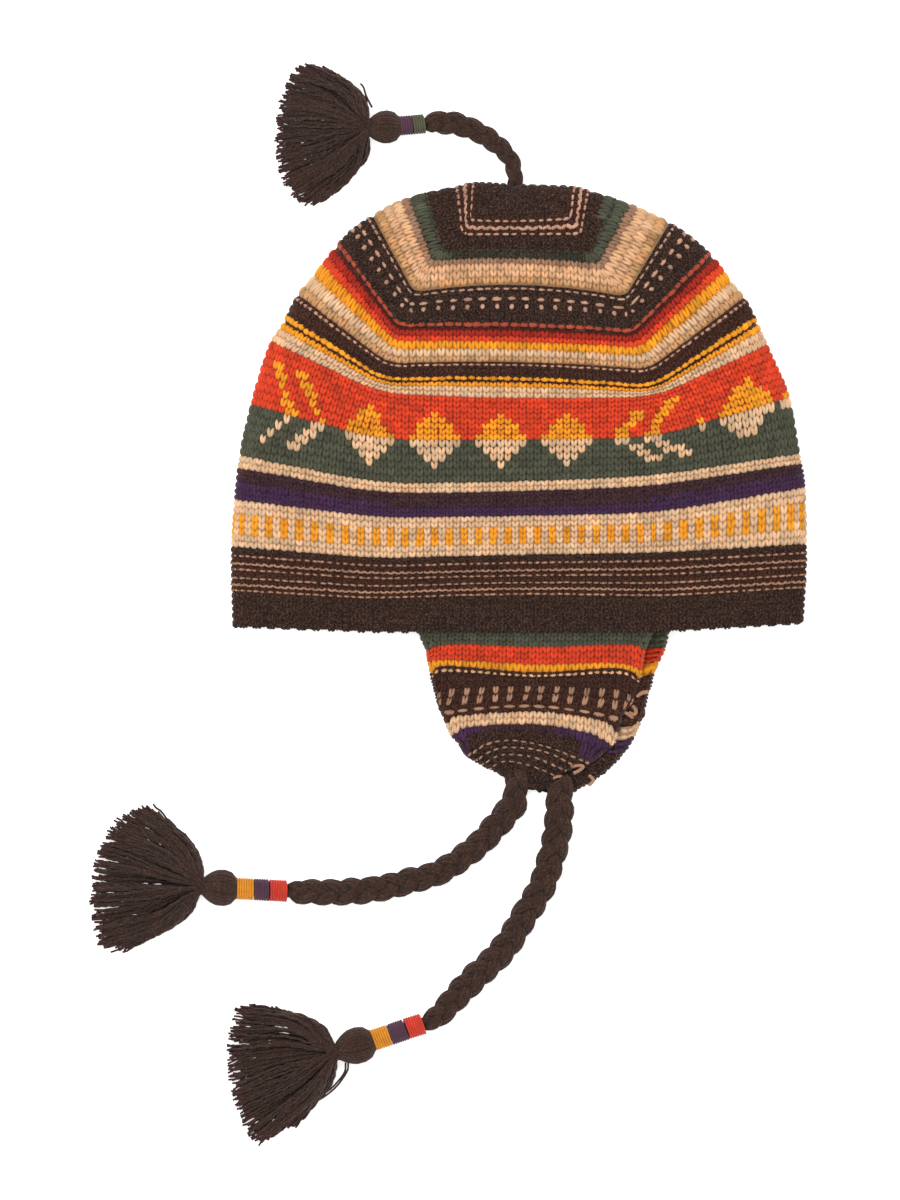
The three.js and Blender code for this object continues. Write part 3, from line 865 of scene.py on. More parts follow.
# how wide the rounded margin beside the fold is, on the upper and the lower layer
UPPER_REACH, LOWER_REACH = 26.0, 9.0
HEM_MIDDLE = -64.0
# places measured at once, to keep the arrays small
BATCH = 4000


def distance_to_fold(places):
    """Distance of places seen from above to the fold line."""
    flat = places.reshape(-1, 2)
    start, end = FOLD_LINE[:-1], FOLD_LINE[1:]
    edge = end - start
    size = np.maximum((edge**2).sum(1), 1e-12)
    nearest = np.empty(len(flat))
    for first in range(0, len(flat), BATCH):
        some = flat[first : first + BATCH, None, :]
        share = np.clip(((some - start) * edge).sum(-1) / size, 0, 1)
        gap = some - (start + edge * share[..., None])
        nearest[first : first + BATCH] = np.sqrt((gap**2).sum(-1).min(1))
    return nearest.reshape(places.shape[:-1])


def margin(distance, reach):
    """Quarter of an ellipse: 0 on the fold, 1 from the end of its margin on."""
    share = np.clip(distance / reach, 0, 1)
    return np.sqrt(1 - (1 - share) ** 2)


def on_layer(places, layer):
    """Adds the height of the upper or the lower layer to places seen from above."""
    distance = distance_to_fold(places)
    if layer == "upper":
        loft = HEM_LOFT + (CROWN_LOFT - HEM_LOFT) * smoothstep(
            places[..., 1], HEM_MIDDLE + GAP, HEM_MIDDLE + LOFT_RISE
        )
        height = FOLD_HEIGHT + (loft - FOLD_HEIGHT) * margin(distance, UPPER_REACH)
    else:
        height = FOLD_HEIGHT * (1 - margin(distance, LOWER_REACH))
    return np.concatenate([places, height[..., None]], -1)


print("height in mid crown", round(float(on_layer(np.array([[0.0, 40.0]]), "upper")[0, 2]), 1), "mm")

# %% [markdown]
# ## The chart
#
# The chart says what is knitted from the hem up. Each entry is a band: the row where it
# starts, how many courses it has, its yarn and its way of knitting. A plain band is a
# field of smooth V stitches, ticks and figures bring in a second yarn, and a groove is
# a bare line that sinks between its neighbours. Real courses are about 2.7 mm high,
# two rows of the course map.

# %% Chart of the crown
CROWN_CHART = [
    # first row, courses, yarn, way of knitting, second yarn, and the columns left and
    # right of which that yarn is knitted
    (0, 5, "brown", "plain"),
    (10, 6, "rust", "plain"),
    (22.3, 1, "brown", "plain"),
    (24, 2, "cream", "plain"),
    (27.3, 3, "cream", "ticks", "yellow"),
    (32.7, 2, "cream", "plain"),
    (36, 2, "purple", "plain"),
    (38.9, 1, "plum", "sides", "purple", (-18, 18)),
    (40.7, 2, "plum", "plain"),
    (44, 2, "cream", "plain"),
    (47, 6, "green", "figures", "cream"),
    (60, 8, "orange", "figures", "yellow"),
    (73, 2, "cream", "plain"),
    (76.2, 1, "yellow", "plain"),
    (77.5, 0, "rust", "groove"),
    (78.2, 3, "rust", "plain"),
    (83.5, 0, "rust", "groove"),
    (84.1, 1, "rose", "plain"),
    (85.9, 1, "cream", "plain"),
    (88.4, 1, "yellow", "plain"),
    (90.8, 1, "orange", "plain"),
    (92.4, 1, "red", "plain"),
    (94.1, 0, "maroon", "groove"),
    (95.4, 6, "brown", "plain"),
    (107.6, 0, "rust", "groove"),
    (108.5, 1, "rose", "plain"),
    (110.7, 2, "sand", "plain"),
    (115.3, 1, "fawn", "plain"),
    (117.1, 1, "olive", "sides", "green", (-9, 9)),
    (119.6, 1, "brown", "sides", "green", (-13, 12)),
    (121.4, 1, "brown", "plain"),
    (124, 3, "rust", "plain"),
    (130, 5, "brown", "plain"),
]


def courses_of(chart, last):
    """For each course: its lower and upper row and its band."""
    starts = [band[0] for band in chart] + [last]
    found = []
    for band, end in zip(chart, starts[1:]):
        edges = np.linspace(band[0], end, band[1] + 1)
        found += [(low, high, band) for low, high in zip(edges, edges[1:])]
    return found


print("courses of the crown:", len(courses_of(CROWN_CHART, ROWS)))

# %% [markdown]
# ## The wall under the stitches
#
# The stitches are modelled one by one, on a plain wall that carries them and closes the
# gaps between them. The wall is a grid, one step for each row, wrapped round both
# layers and gathered at the tip. Its skin lies one stitch deep under the outside, and a
# Solidify modifier gives it its thickness inwards, so the hat is hollow and open at
# the hem. Its colours are the yarns' darkened by painted shade, because what shows of it
# lies in the shade between them, a little less in the bare grooves, and it carries them
# in the same attribute as the stitches.

# %% Wall of the crown
STITCH_DEPTH = 1.15
WALL = 3.0
BACKING = WALL - STITCH_DEPTH
# painted shade: the wall's colour is its yarn's times this, and in a bare groove times the next
PAINTED_WALL_SHADE = 0.45
PAINTED_GROOVE_SHADE = 0.8
# columns and rows of the grid in one unit of its UV map
UV_STEPS = 4
SAME_PLACE = 0.01
# columns of the grid, in shares of a half wedge from the fold and of the middle wedge
SIDE_SHARES = np.array(
    [0, 0.006, 0.02, 0.045, 0.08, 0.13, 0.19, 0.27, 0.37, 0.5, 0.65, 0.78, 0.88, 0.95, 1]
)
MIDDLE_SHARES = np.array([0.04, 0.09, 0.16, 0.28, 0.42, 0.58, 0.72, 0.84, 0.91, 0.96])


def layer_grid(rows, layer):
    """Points of one layer: a line of points for each row, from left to right fold."""
    shares = {"left": SIDE_SHARES, "middle": MIDDLE_SHARES, "right": SIDE_SHARES[::-1]}
    columns = [
        plan(rows, part, np.full(len(rows), share)) for part in shares for share in shares[part]
    ]
    return on_layer(np.stack(columns, axis=1), layer)


def grid_normals(grid, closed):
    """Unit normals of a grid of points; closed joins its last column to its first."""
    if closed:
        across = np.roll(grid, -1, axis=1) - np.roll(grid, 1, axis=1)
    else:
        across = np.gradient(grid, axis=1)
    along = np.gradient(grid, axis=0)
    return unit(np.cross(across, along))


def wall_colours(chart, rows):
    """The wall's colour, darkened by painted shade, and heather above each row."""
    starts = np.array([band[0] for band in chart])
    band = np.clip(np.searchsorted(starts, rows + 0.5, side="right") - 1, 0, len(chart) - 1)
    yarn = np.array([YARN_NUMBER[entry[2]] for entry in chart])[band]
    shade = np.array([PAINTED_GROOVE_SHADE if entry[3] == "groove" else PAINTED_WALL_SHADE for entry in chart])[band]
    return np.column_stack([YARN_COLOURS[yarn] * shade[:, None], YARN_HEATHER[yarn]])


def wall_mesh(name, grid, rows, chart, closed):
    """The wall behind the stitches, from a grid of points on its outer skin, in mm."""
    count, columns = grid.shape[:2]
    if closed:
        grid = np.concatenate([grid, grid[:, :1]], axis=1)
        columns += 1
    mesh = bmesh.new()
    layer = mesh.loops.layers.uv.new("UVMap")
    colours = mesh.loops.layers.float_color.new("yarn")
    bmesh.ops.create_grid(mesh, x_segments=columns - 1, y_segments=count - 1, size=1)
    where = {}
    for vertex in mesh.verts:
        column = round((vertex.co.x + 1) / 2 * (columns - 1))
        row = round((vertex.co.y + 1) / 2 * (count - 1))
        where[vertex] = (row, column)
        vertex.co = grid[row, column] * MM
    tint = wall_colours(chart, rows)
    for face in mesh.faces:
        face.smooth = True
        row = min(where[loop.vert][0] for loop in face.loops)
        for loop in face.loops:
            loop[layer].uv = (
                where[loop.vert][1] / UV_STEPS,
                rows[where[loop.vert][0]] / UV_STEPS,
            )
            loop[colours] = tint[row]
    bmesh.ops.remove_doubles(mesh, verts=mesh.verts, dist=SAME_PLACE * MM)
    data = bpy.data.meshes.new(name)
    mesh.to_mesh(data)
    mesh.free()
    obj = bpy.data.objects.new(name, data)
    bpy.context.scene.collection.objects.link(obj)
    solid = obj.modifiers.new("thickness", "SOLIDIFY")
    solid.thickness = BACKING * MM
    solid.offset = -1
    return obj


wall_rows = np.concatenate([[0.5], np.arange(1, ROWS, 1.0), [ROWS - 0.4]])
upper = layer_grid(wall_rows, "upper")
lower = layer_grid(wall_rows, "lower")[:, ::-1]
crown_grid = np.concatenate([upper, lower[:, 1:-1]], axis=1)
crown_grid = crown_grid - grid_normals(crown_grid, True) * STITCH_DEPTH
crown_wall = wall_mesh("crown_wall", crown_grid, wall_rows, CROWN_CHART, True)
finished(crown_wall, knit_wool, ["crown"])
print("crown wall", triangles(crown_wall), "triangles before its thickness")

# %% [markdown]
# ## Stitches
#
# A knit stitch shows as a V: two legs of yarn that rise from one point. A leg is a
# plump stroke, half round in section, narrow at its ends, with its rims sunk in the
# wall. Between the legs and between the columns small slits stay open, dark with the
# wall's painted shade, as in the photo. Each stroke starts as a tiny grid. Stitches of
# dark yarn, whose shape hardly shows, and those of the lower layer have fewer steps.
# Rims are given painted shade, for the shade deep between the yarns, and ridges a slight
# painted highlight.

# %% Stitch shapes
# width of a stitch, height of a course, and height of a row of the course map
WALE = 3.3
COURSE = 2.7
ROW = 1.45
# how deep a rim lies, in stitch depths; painted shade of rims and flanks, painted highlight of ridges
RIM_DEPTH, FLANK_DEPTH = -0.3, 0.4
PAINTED_RIM_SHADE, PAINTED_FLANK_SHADE, PAINTED_RIDGE_HIGHLIGHT = 0.6, 0.9, 1.06
# how blunt a stroke's ends are, seen from above and from the side
BLUNT_WIDE, BLUNT_HIGH = 2.4, 2.6


def stroke(mesh, steps, foot, head, half_width, taper):
    """Adds a half-round stroke of yarn to a bmesh, from one point to another in mm."""
    foot, head = Vector((*foot, 0)), Vector((*head, 0))
    forward = head - foot
    side = Vector((forward.y, -forward.x, 0)).normalized()
    grid = bmesh.ops.create_grid(mesh, x_segments=steps[0], y_segments=steps[1], size=0.5)
    for vertex in grid["verts"]:
        end = abs(vertex.co.y * 2)
        turn = vertex.co.x * math.pi
        wide = half_width * math.sin(turn) * (1 - taper * end**BLUNT_WIDE)
        ridge = (1 - RIM_DEPTH) * (1 - 1.25 * taper * end**BLUNT_HIGH)
        high = RIM_DEPTH + ridge * math.cos(turn)
        vertex.co = foot + forward * (vertex.co.y + 0.5) + side * wide + Vector((0, 0, high))


def shape(strokes, cell, steps):
    """Strokes as points, quads and painted shade and highlight, in units of their cell and one depth.
    """
    mesh = bmesh.new()
    for foot, head, half_width, taper in strokes:
        stroke(mesh, steps, foot, head, half_width, taper)
    mesh.verts.ensure_lookup_table()
    points = np.array([vertex.co[:] for vertex in mesh.verts])
    faces = np.array([[vertex.index for vertex in face.verts] for face in mesh.faces])
    mesh.free()
    depths = [RIM_DEPTH, FLANK_DEPTH, 1]
    painted_shading = np.interp(points[:, 2], depths, [PAINTED_RIM_SHADE, PAINTED_FLANK_SHADE, PAINTED_RIDGE_HIGHLIGHT])
    points[:, :2] /= cell
    return points, faces, painted_shading


def forked(foot, head, thick, taper):
    """Two strokes from near one point: the left one is given, the right one mirrors it."""
    return [(foot, head, thick, taper), ((-foot[0], foot[1]), (-head[0], head[1]), thick, taper)]


LEGS = forked((-0.26, -1.5), (-1.25, 1.7), 0.9, 0.55)
V_FINE = shape(LEGS, (WALE, COURSE), (4, 4))
V_PLAIN = shape(LEGS, (WALE, COURSE), (2, 3))
PURL = shape([((-1.9, 0), (1.9, 0), 1.1, 0.5)], (WALE, COURSE), (2, 3))
EDGE = shape([((0, -0.5), (0, 0.5), 0.46, 0.5)], (1, 1), (2, 3))
print("quads in a V:", len(V_FINE[1]), "or", len(V_PLAIN[1]))

# %% [markdown]
# Over the ground run lines of marks in a lighter yarn: dashes, ropes and bars lie
# across, posts stand upright, and a wave is a zigzag thread. A kind of mark has its
# strokes, its pitch along the course in wales and its height in mm.

# %% Marks
def across(half, thick, taper=0.45):
    """One stroke across, of a half length and a half thickness."""
    return [((-half, 0), (half, 0), thick, taper)]


MARKS = {
    "thin dash": (across(1.3, 0.48), 1.18, 1.0),
    "dash": (across(1.35, 0.6), 1, 1.3),
    "long dash": (across(1.5, 0.62), 1.2, 1.3),
    "rope": (across(1.65, 1.1), 1, 2.2),
    "long rope": (across(2.1, 1.15), 1.27, 2.2),
    "bar": (across(1.85, 0.95), 2, 1.9),
    "long bar": (across(2.4, 0.75), 2.06, 1.6),
    "post": ([((0, -1.1), (0, 1.1), 1.15, 0.3)], 2, 2.4),
    "vee": (forked((-0.3, -1.5), (-0.8, 1.5), 0.85, 0.4), 2.06, 3.0),
    "wave": (forked((0, -0.42), (-1.65, 0.42), 0.62, 0.2), 1, 1.2),
    "long wave": (forked((0, -0.55), (-2.1, 0.55), 0.82, 0.2), 1.27, 1.8),
}
# how thick marks are and how uneven, against stitches
MARK_DEPTH, MARK_UNEVEN = 1.25, 1.2
MARK_SHAPES = {
    name: shape(strokes, (WALE * pitch, high), (4, 4))
    for name, (strokes, pitch, high) in MARKS.items()
}
CROWN_MARKS = [
    # row of its middle, kind, yarn
    (10.8, "dash", "fawn"), (12.5, "wave", "fawn"), (14.6, "dash", "fawn"),
    (17.2, "dash", "fawn"), (19.0, "wave", "fawn"), (21.4, "dash", "fawn"),
    (78.8, "rope", "yellow"), (83.0, "dash", "tan"),
    (96.1, "long rope", "brick"), (101.6, "post", "tan"), (103.9, "bar", "tan"),
    (106.8, "long dash", "tan"), (119.8, "long dash", "olive"),
    (124.7, "long dash", "tan"), (126.5, "long wave", "tan"), (128.6, "long dash", "tan"),
]
print("lines of marks:", len(CROWN_MARKS))

# %% [markdown]
# Thousands of stitches are laid at once with arrays. Each has a centre and three
# vectors: across the wale, along the wale and out of the knit. A copy of the shape is
# stretched over those vectors, and all the copies are joined in one mesh.

# %% Laying stitches
def laid(name, groups):
    """One mesh of many copies. A group is a shape and its stitches: centre, across,
    along, out, colour with heather as fourth number."""
    points, faces, colours = [], [], []
    count = 0
    for (shape_points, shape_faces, painted_shading), centre, wide, high, out, colour in groups:
        if len(centre) == 0:
            continue
        copies = (
            centre[:, None]
            + shape_points[:, 0][None, :, None] * wide[:, None]
            + shape_points[:, 1][None, :, None] * high[:, None]
            + shape_points[:, 2][None, :, None] * out[:, None]
        )
        size = len(shape_points)
        points.append(copies.reshape(-1, 3) * MM)
        offsets = count + size * np.arange(len(centre))
        faces.append((shape_faces[None] + offsets[:, None, None]).reshape(-1, 4))
        tints = np.repeat(colour, size, axis=0)
        # the shape's painted shading: darker at the rims, lighter on the ridges
        tints[:, :3] *= np.tile(painted_shading, len(centre))[:, None]
        colours.append(tints)
        count += size * len(centre)
    points, faces, colours = (np.concatenate(parts) for parts in (points, faces, colours))
    # what lies on the table is pressed flat
    points[:, 2] = np.maximum(points[:, 2], 0)
    mesh = bpy.data.meshes.new(name)
    mesh.vertices.add(len(points))
    mesh.vertices.foreach_set("co", points.ravel())
    mesh.loops.add(faces.size)
    mesh.loops.foreach_set("vertex_index", faces.ravel())
    mesh.polygons.add(len(faces))
    mesh.polygons.foreach_set("loop_start", np.arange(0, faces.size, 4))
    mesh.update(calc_edges=True)
    shade_smooth(mesh)
    attribute = mesh.color_attributes.new("yarn", "FLOAT_COLOR", "POINT")
    attribute.data.foreach_set("color", colours.ravel())
    obj = bpy.data.objects.new(name, mesh)
    bpy.context.scene.collection.objects.link(obj)
    finished(obj, knit_wool)
    print(name, triangles(obj), "triangles")
    return obj


# %% [markdown]
# Where does each stitch lie? In the middle wedge the wales run straight up, side by
# side from the centre line. In a half wedge they run beside the fold, so stitches are
# counted from the fold along the knit, and drop out at the corner. Below the first
# decreases every course has the same number of stitches. The stitch next to a corner
# is as wide as what is left there.

# %% Places of the stitches
# stitches of the hem from the middle to a corner, and from a corner to the fold
MIDDLE_WALES = 19
SIDE_WALES = 21
FIRST_DECREASE = 60
# shares of a half wedge from fold to corner, close together where it bends most
FINE_SHARES = np.linspace(0, 1, 90) ** 1.6
SPARE = 0.25            # of a stitch's width is kept at a corner by a dropped stitch
SHORTEST = 0.35         # height of the lowest stitch, in courses


def cells(start, end, pitch):
    """Centres, widths and numbers of stitches side by side between two ends."""
    inner = np.arange(math.ceil(start / pitch + 0.5), math.floor(end / pitch - 0.5) + 1) * pitch
    edges = np.concatenate([[start], inner, [end]])
    centre = (edges[1:] + edges[:-1]) / 2
    return centre, np.diff(edges), np.floor(centre / pitch).astype(int)


def measured(points):
    """A line of points with the way along it."""
    steps = np.linalg.norm(np.diff(points, axis=0), axis=1)
    return points, np.concatenate([[0], np.cumsum(steps)])


def at_way(line, at):
    """Places on a measured line at some ways along it."""
    points, way = line
    at = np.clip(at, 0, way[-1])
    return np.stack([np.interp(at, way, points[:, axis]) for axis in range(3)], -1)


def side_line(part, layer, row):
    """One row of a half wedge as a measured line from the fold to the corner."""
    return measured(on_layer(plan(np.full(len(FINE_SHARES), row), part, FINE_SHARES), layer))


def side_course(part, layer, low, high, wales):
    """Stitches of a half wedge between two rows: low and high end, width, wale."""
    below, above = (side_line(part, layer, row) for row in (low, high))
    # the full courses share out their own length, those above keep the last full one's
    full = [side_line(part, layer, min(row, FIRST_DECREASE))[1][-1] for row in (low, high)]
    pitch = [length / SIDE_WALES for length in full]
    centre, width, number = cells(0, below[1][-1], pitch[0] * wales)
    landing = np.minimum(centre * pitch[1] / pitch[0], max(above[1][-1] - SPARE * pitch[1], 0.1))
    sideways = unit(at_way(below, centre + width / 2) - at_way(below, centre - width / 2))
    facing, wale = (1, number - MIDDLE_WALES - SIDE_WALES)
    if part == "right":
        facing, wale = (-1, MIDDLE_WALES + SIDE_WALES - 1 - number)
    return at_way(below, centre), at_way(above, landing), facing * sideways * width[:, None], wale


def middle_course(layer, low, high, wales):
    """Stitches of the middle wedge between two rows."""
    _, left, right, _, _, _ = course_marks(np.array([low, high]))
    left, right = left[:, 0], right[:, 0]
    pitch = WALE * wales
    centre, width, wale = cells(left[0], right[0], pitch)
    ends = []
    for level, row in enumerate((low, high)):
        x = centre[None, :] + np.array([[-0.5], [0], [0.5]]) * width
        span = max(right[level] - left[level], 0.1)
        spare = min(SPARE * pitch / span, 0.5) if level else 0
        share = np.clip((x - left[level]) / span, spare, 1 - spare)
        ends.append(on_layer(plan(np.full(share.shape, row), "middle", share), layer))
    return ends[0][1], ends[1][1], unit(ends[0][2] - ends[0][0]) * width[:, None], wale


def stitches_between(low, high, sideways, wale, row, facing=1):
    """One course as a table of vectors that point along the knit and out of it."""
    along = high - low
    short = np.linalg.norm(along, axis=1) < SHORTEST * COURSE
    along[short] = unit(along[short]) * SHORTEST * COURSE
    sideways = sideways * facing
    return {
        "centre": (low + high) / 2,
        "across": sideways,
        "along": along,
        "out": unit(np.cross(sideways, along)),
        "row": np.full(len(wale), row),
        "wale": wale,
        "column": low[:, 0] / WALE,
    }


def crown_course(layer, low, high, wales=1.0):
    """All stitches, or marks, of one course on a layer."""
    parts = [
        side_course("left", layer, low, high, wales),
        middle_course(layer, low, high, wales),
        side_course("right", layer, low, high, wales),
    ]
    low_ends, high_ends, sideways, wale = (np.concatenate(values) for values in zip(*parts))
    facing = 1 if layer == "upper" else -1
    return stitches_between(low_ends, high_ends, sideways, wale, (low + high) / 2, facing)


print("stitches in the hem of a layer:", len(crown_course("upper", 24.0, 26.0)["wale"]))

# %% [markdown]
# The figure band is charted by rule: chevrons that point to the middle, and stepped
# diamonds and squares between them. Columns are counted in stitches from the middle of
# the hat, rows from the hem.

# %% Figures
# column of the tip, how far the upper and the lower arm go aside for each row, height
# of the arms in rows, half their thickness in stitches
CHEVRONS = [
    (-31.1, -0.24, -0.5, 9.8, 0.72),
    (-26.9, -0.33, -0.5, 9.6, 0.72),
    (13.35, 0.41, 0.65, 8.4, 1.05),
    (17.75, 0.38, 0.6, 8.8, 1.05),
]
FIGURE_ROW = 60.2
FIGURE_HIGH = 8.0
# column and half width of the diamonds
DIAMONDS = [(-20.5, 3.9), (-11.5, 3.9), (-2.5, 3.9), (6.5, 3.9), (31.0, 4.4)]
# columns of the squares, and their half width and height
SQUARES = [25, 37]
SQUARE_WIDE, SQUARE_HIGH = 0.8, 1.7


def in_figure(row, column):
    """True where a stitch belongs to a light figure."""
    found = np.zeros(len(row), bool)
    rise = row - FIGURE_ROW
    for tip, above, below, height, half in CHEVRONS:
        aside = tip + np.abs(rise) * np.where(rise > 0, above, below)
        found |= (np.abs(column - aside) < half) & (np.abs(rise) < height)
    for middle, half in DIAMONDS:
        found |= np.abs(column - middle) / half + np.abs(rise) / FIGURE_HIGH < 1
    for middle in SQUARES:
        found |= (np.abs(column - middle) < SQUARE_WIDE) & (np.abs(rise) < SQUARE_HIGH)
    return found


# %% [markdown]
# Now the chart turns into stitches. Every stitch gets its yarn and its shape. Each one
# is turned, sized and tinted a little by chance, since hand-spun yarn and hand knitting
# are never even.

# %% From chart to stitches
FINE_YARNS = [
    YARN_NUMBER[name]
    for name in ("cream", "sand", "yellow", "orange", "red", "rose", "tan", "green")
]
LIFT = 0.03             # of the ridges over the outer skin
# how much stitches differ by chance, as shares of their own size or colour
CHANCES = {
    "across": 0.03,
    "along": 0.04,
    "turn": 0.06,
    "size": 0.06,
    "tint": 0.09,
    "hue": 0.035,
    "depth": 0.08,
}


def yarns_of(course, band):
    """The yarn of each stitch of a course."""
    way, column = band[3], course["column"]
    if way == "ticks":
        changed = course["wale"] % 2 == 0
    elif way == "sides":
        changed = (column < band[5][0]) | (column > band[5][1])
    elif way == "figures":
        changed = in_figure(course["row"], column)
    else:
        return np.full(len(column), YARN_NUMBER[band[2]])
    return np.where(changed, YARN_NUMBER[band[4]], YARN_NUMBER[band[2]])


def group(stitches, form, yarn, depth=1.0, uneven=1.0):
    """Stitches of one shape, each a little different."""
    sideways, along, out = stitches["across"], stitches["along"], stitches["out"]

    def by_chance(what, uneven=uneven):
        """One random value for each stitch."""
        return chance.normal(0, CHANCES[what] * uneven, (len(yarn), 1))

    centre = stitches["centre"] + out * (LIFT - STITCH_DEPTH)
    centre = centre + sideways * by_chance("across")
    centre = centre + along * by_chance("along")
    turn = by_chance("turn") * WALE
    size = 1 + by_chance("size")
    wide = (sideways + unit(along) * turn) * size
    high = (along - unit(sideways) * turn) * size
    tint = 1 + by_chance("tint") + by_chance("hue", 1) * np.array([[1, 0, -1]])
    tint = np.clip(tint, 0.7, 1.3)
    thick = depth * (1 + by_chance("depth", 1))
    colour = np.concatenate([YARN_COLOURS[yarn] * tint, YARN_HEATHER[yarn][:, None]], 1)
    return form, centre, wide, high, out * STITCH_DEPTH * thick, colour


def chosen(stitches, which):
    """Some stitches of a course."""
    return {key: values[which] for key, values in stitches.items()}


def knit(course_at, chart, last, between, fine=True, purl=False):
    """Groups for all courses that start between two rows."""
    groups = []
    for low, high, band in courses_of(chart, last):
        if not between[0] <= low < between[1]:
            continue
        course = course_at(low, high)
        own = yarns_of(course, band)
        light = np.isin(own, FINE_YARNS) & fine
        for which, form in ((light, V_FINE), (~light, PURL if purl else V_PLAIN)):
            groups.append(group(chosen(course, which), form, own[which]))
    return groups


def marked(course_at, marks, between):
    """Groups for the lines of marks between two rows."""
    groups = []
    for row, kind, yarn in marks:
        if between[0] <= row < between[1]:
            _, pitch, high = MARKS[kind]
            line = course_at(row - high / ROW / 2, row + high / ROW / 2, pitch)
            yarns = np.full(len(line["wale"]), YARN_NUMBER[yarn])
            groups.append(group(line, MARK_SHAPES[kind], yarns, MARK_DEPTH, MARK_UNEVEN))
    return groups


# %% [markdown]
# The hem is a plain edge. Its last courses roll round the rim of the wall to the inside,
# and every other wale stands out a little, which gives the edge its fine scallops.

# %% Hem
HEM_SCALLOP = 0.35
# rows of the course that the rim repeats, its turns in degrees, and its length in walls
RIM_ROWS = (0.5, 2.2)
RIM_TURNS = (30, 90, 150)
RIM_LONG = 0.6


def hem_rim(layer):
    """Three courses round the rim, from the stitches of the first course."""
    first = crown_course(layer, *RIM_ROWS)
    out, upward = first["out"], unit(first["along"])
    middle = first["centre"] - first["along"] / 2 - out * WALL / 2
    middle = middle - upward * (HEM_SCALLOP * np.cos(np.pi * first["wale"]))[:, None]
    brown = np.full(len(first["wale"]), YARN_NUMBER["brown"])
    groups = []
    for degrees in RIM_TURNS:
        turn = math.radians(degrees)
        facing = out * math.cos(turn) - upward * math.sin(turn)
        heading = out * math.sin(turn) + upward * math.cos(turn)
        centre = middle + facing * WALL / 2
        rim = dict(first, centre=centre, along=heading * WALL * RIM_LONG, out=facing)
        groups.append(group(rim, V_PLAIN, brown))
    return groups


# %% [markdown]
# The crown's stitches are laid in five meshes, so that none of them is too heavy. Those
# of the lower layer, which lies on the table, are all of the simpler shape.

# %% Stitches of the crown
PARTS = {
    "upper": {"hem": (0, 47), "figures": (47, 84), "top": (84, ROWS)},
    "lower": {"hem": (0, 68), "top": (68, ROWS)},
}
for layer, parts in PARTS.items():
    for part_name, between in parts.items():
        course_at = partial(crown_course, layer)
        groups = knit(course_at, CROWN_CHART, ROWS - 0.5, between, fine=layer == "upper")
        groups += marked(course_at, CROWN_MARKS, between)
        if part_name == "hem":
            groups += hem_rim(layer)
        laid("crown_stitches_" + layer + "_" + part_name, groups)

# %% [markdown]
# ## Earflaps
#
# Each flap is knitted down from the hem. Its courses bend into arcs towards the tip,
# where stitches drop out at both edges. The tables give five points of some courses,
# from the left edge to the right one. The near flap shows its smooth side, the far flap
# its wrong side, where every stitch is a small bump across. Both lie on the table with
# their tips, and their tops are tucked inside the hem.

# %% Courses of the flaps
# course, then x y of five points in mm
NEAR_COURSES = np.array([
    (-6, -46, -54, -22.9, -54, 0, -54, 30.6, -54, 61.2, -54),
    (0, -45, -64.4, -22.1, -64.4, 7.2, -64.4, 31.9, -64.4, 60.3, -63.9),
    (4, -41.9, -72.5, -28.8, -70.2, 7.2, -71.5, 47.7, -70.4, 56.7, -72.5),
    (9, -41.1, -77.9, -28.8, -77.4, 7.2, -79.4, 42.8, -78.8, 55.4, -81.5),
    (11, -40.1, -82.8, -32.4, -79.9, 7.2, -82.8, 43.6, -81, 54.9, -85),
    (17, -38, -91.8, -28.8, -90, 7.2, -89.1, 41.9, -90.5, 51.8, -93.2),
    (22, -35.6, -99.9, -19.4, -98.3, 7.2, -97, 28.8, -99.5, 46.4, -102.2),
    (24, -32.9, -105.8, -26.6, -102.3, 7.2, -100.4, 36.5, -104.2, 44.6, -109.8),
    (28, -30.6, -111.2, -22.1, -107.1, 7.2, -105.8, 32.9, -110.2, 41.9, -115.7),
    (30, -27.4, -114.3, -15.3, -109.1, 5, -109.1, 25.2, -112.7, 38.2, -118.4),
    (32, -23.4, -120.2, -14.2, -114.3, -1.4, -113, 14.8, -116.5, 31.9, -123.3),
    (34, -20.2, -122.4, -11.7, -117.2, -1.4, -115.9, 13.1, -118.4, 26.6, -125.1),
    (36, -17.1, -124.2, -9.9, -119.9, -2.2, -119.2, 9, -121, 22.1, -126.9),
    (38, -13.5, -126, -8.6, -122.6, -2.2, -122.6, 7.7, -125.1, 18, -129.6),
    (41, -8.6, -128.2, -5, -126.5, 0.5, -126.9, 8.1, -128.7, 15.3, -131.8),
    (44, -4.5, -131, -2.2, -130.5, 1.8, -131.4, 6.8, -132.3, 12.6, -134.1),
    (46, -2.2, -133.7, 0, -134.1, 3.1, -135, 5.9, -135.5, 9.5, -135.5),
])
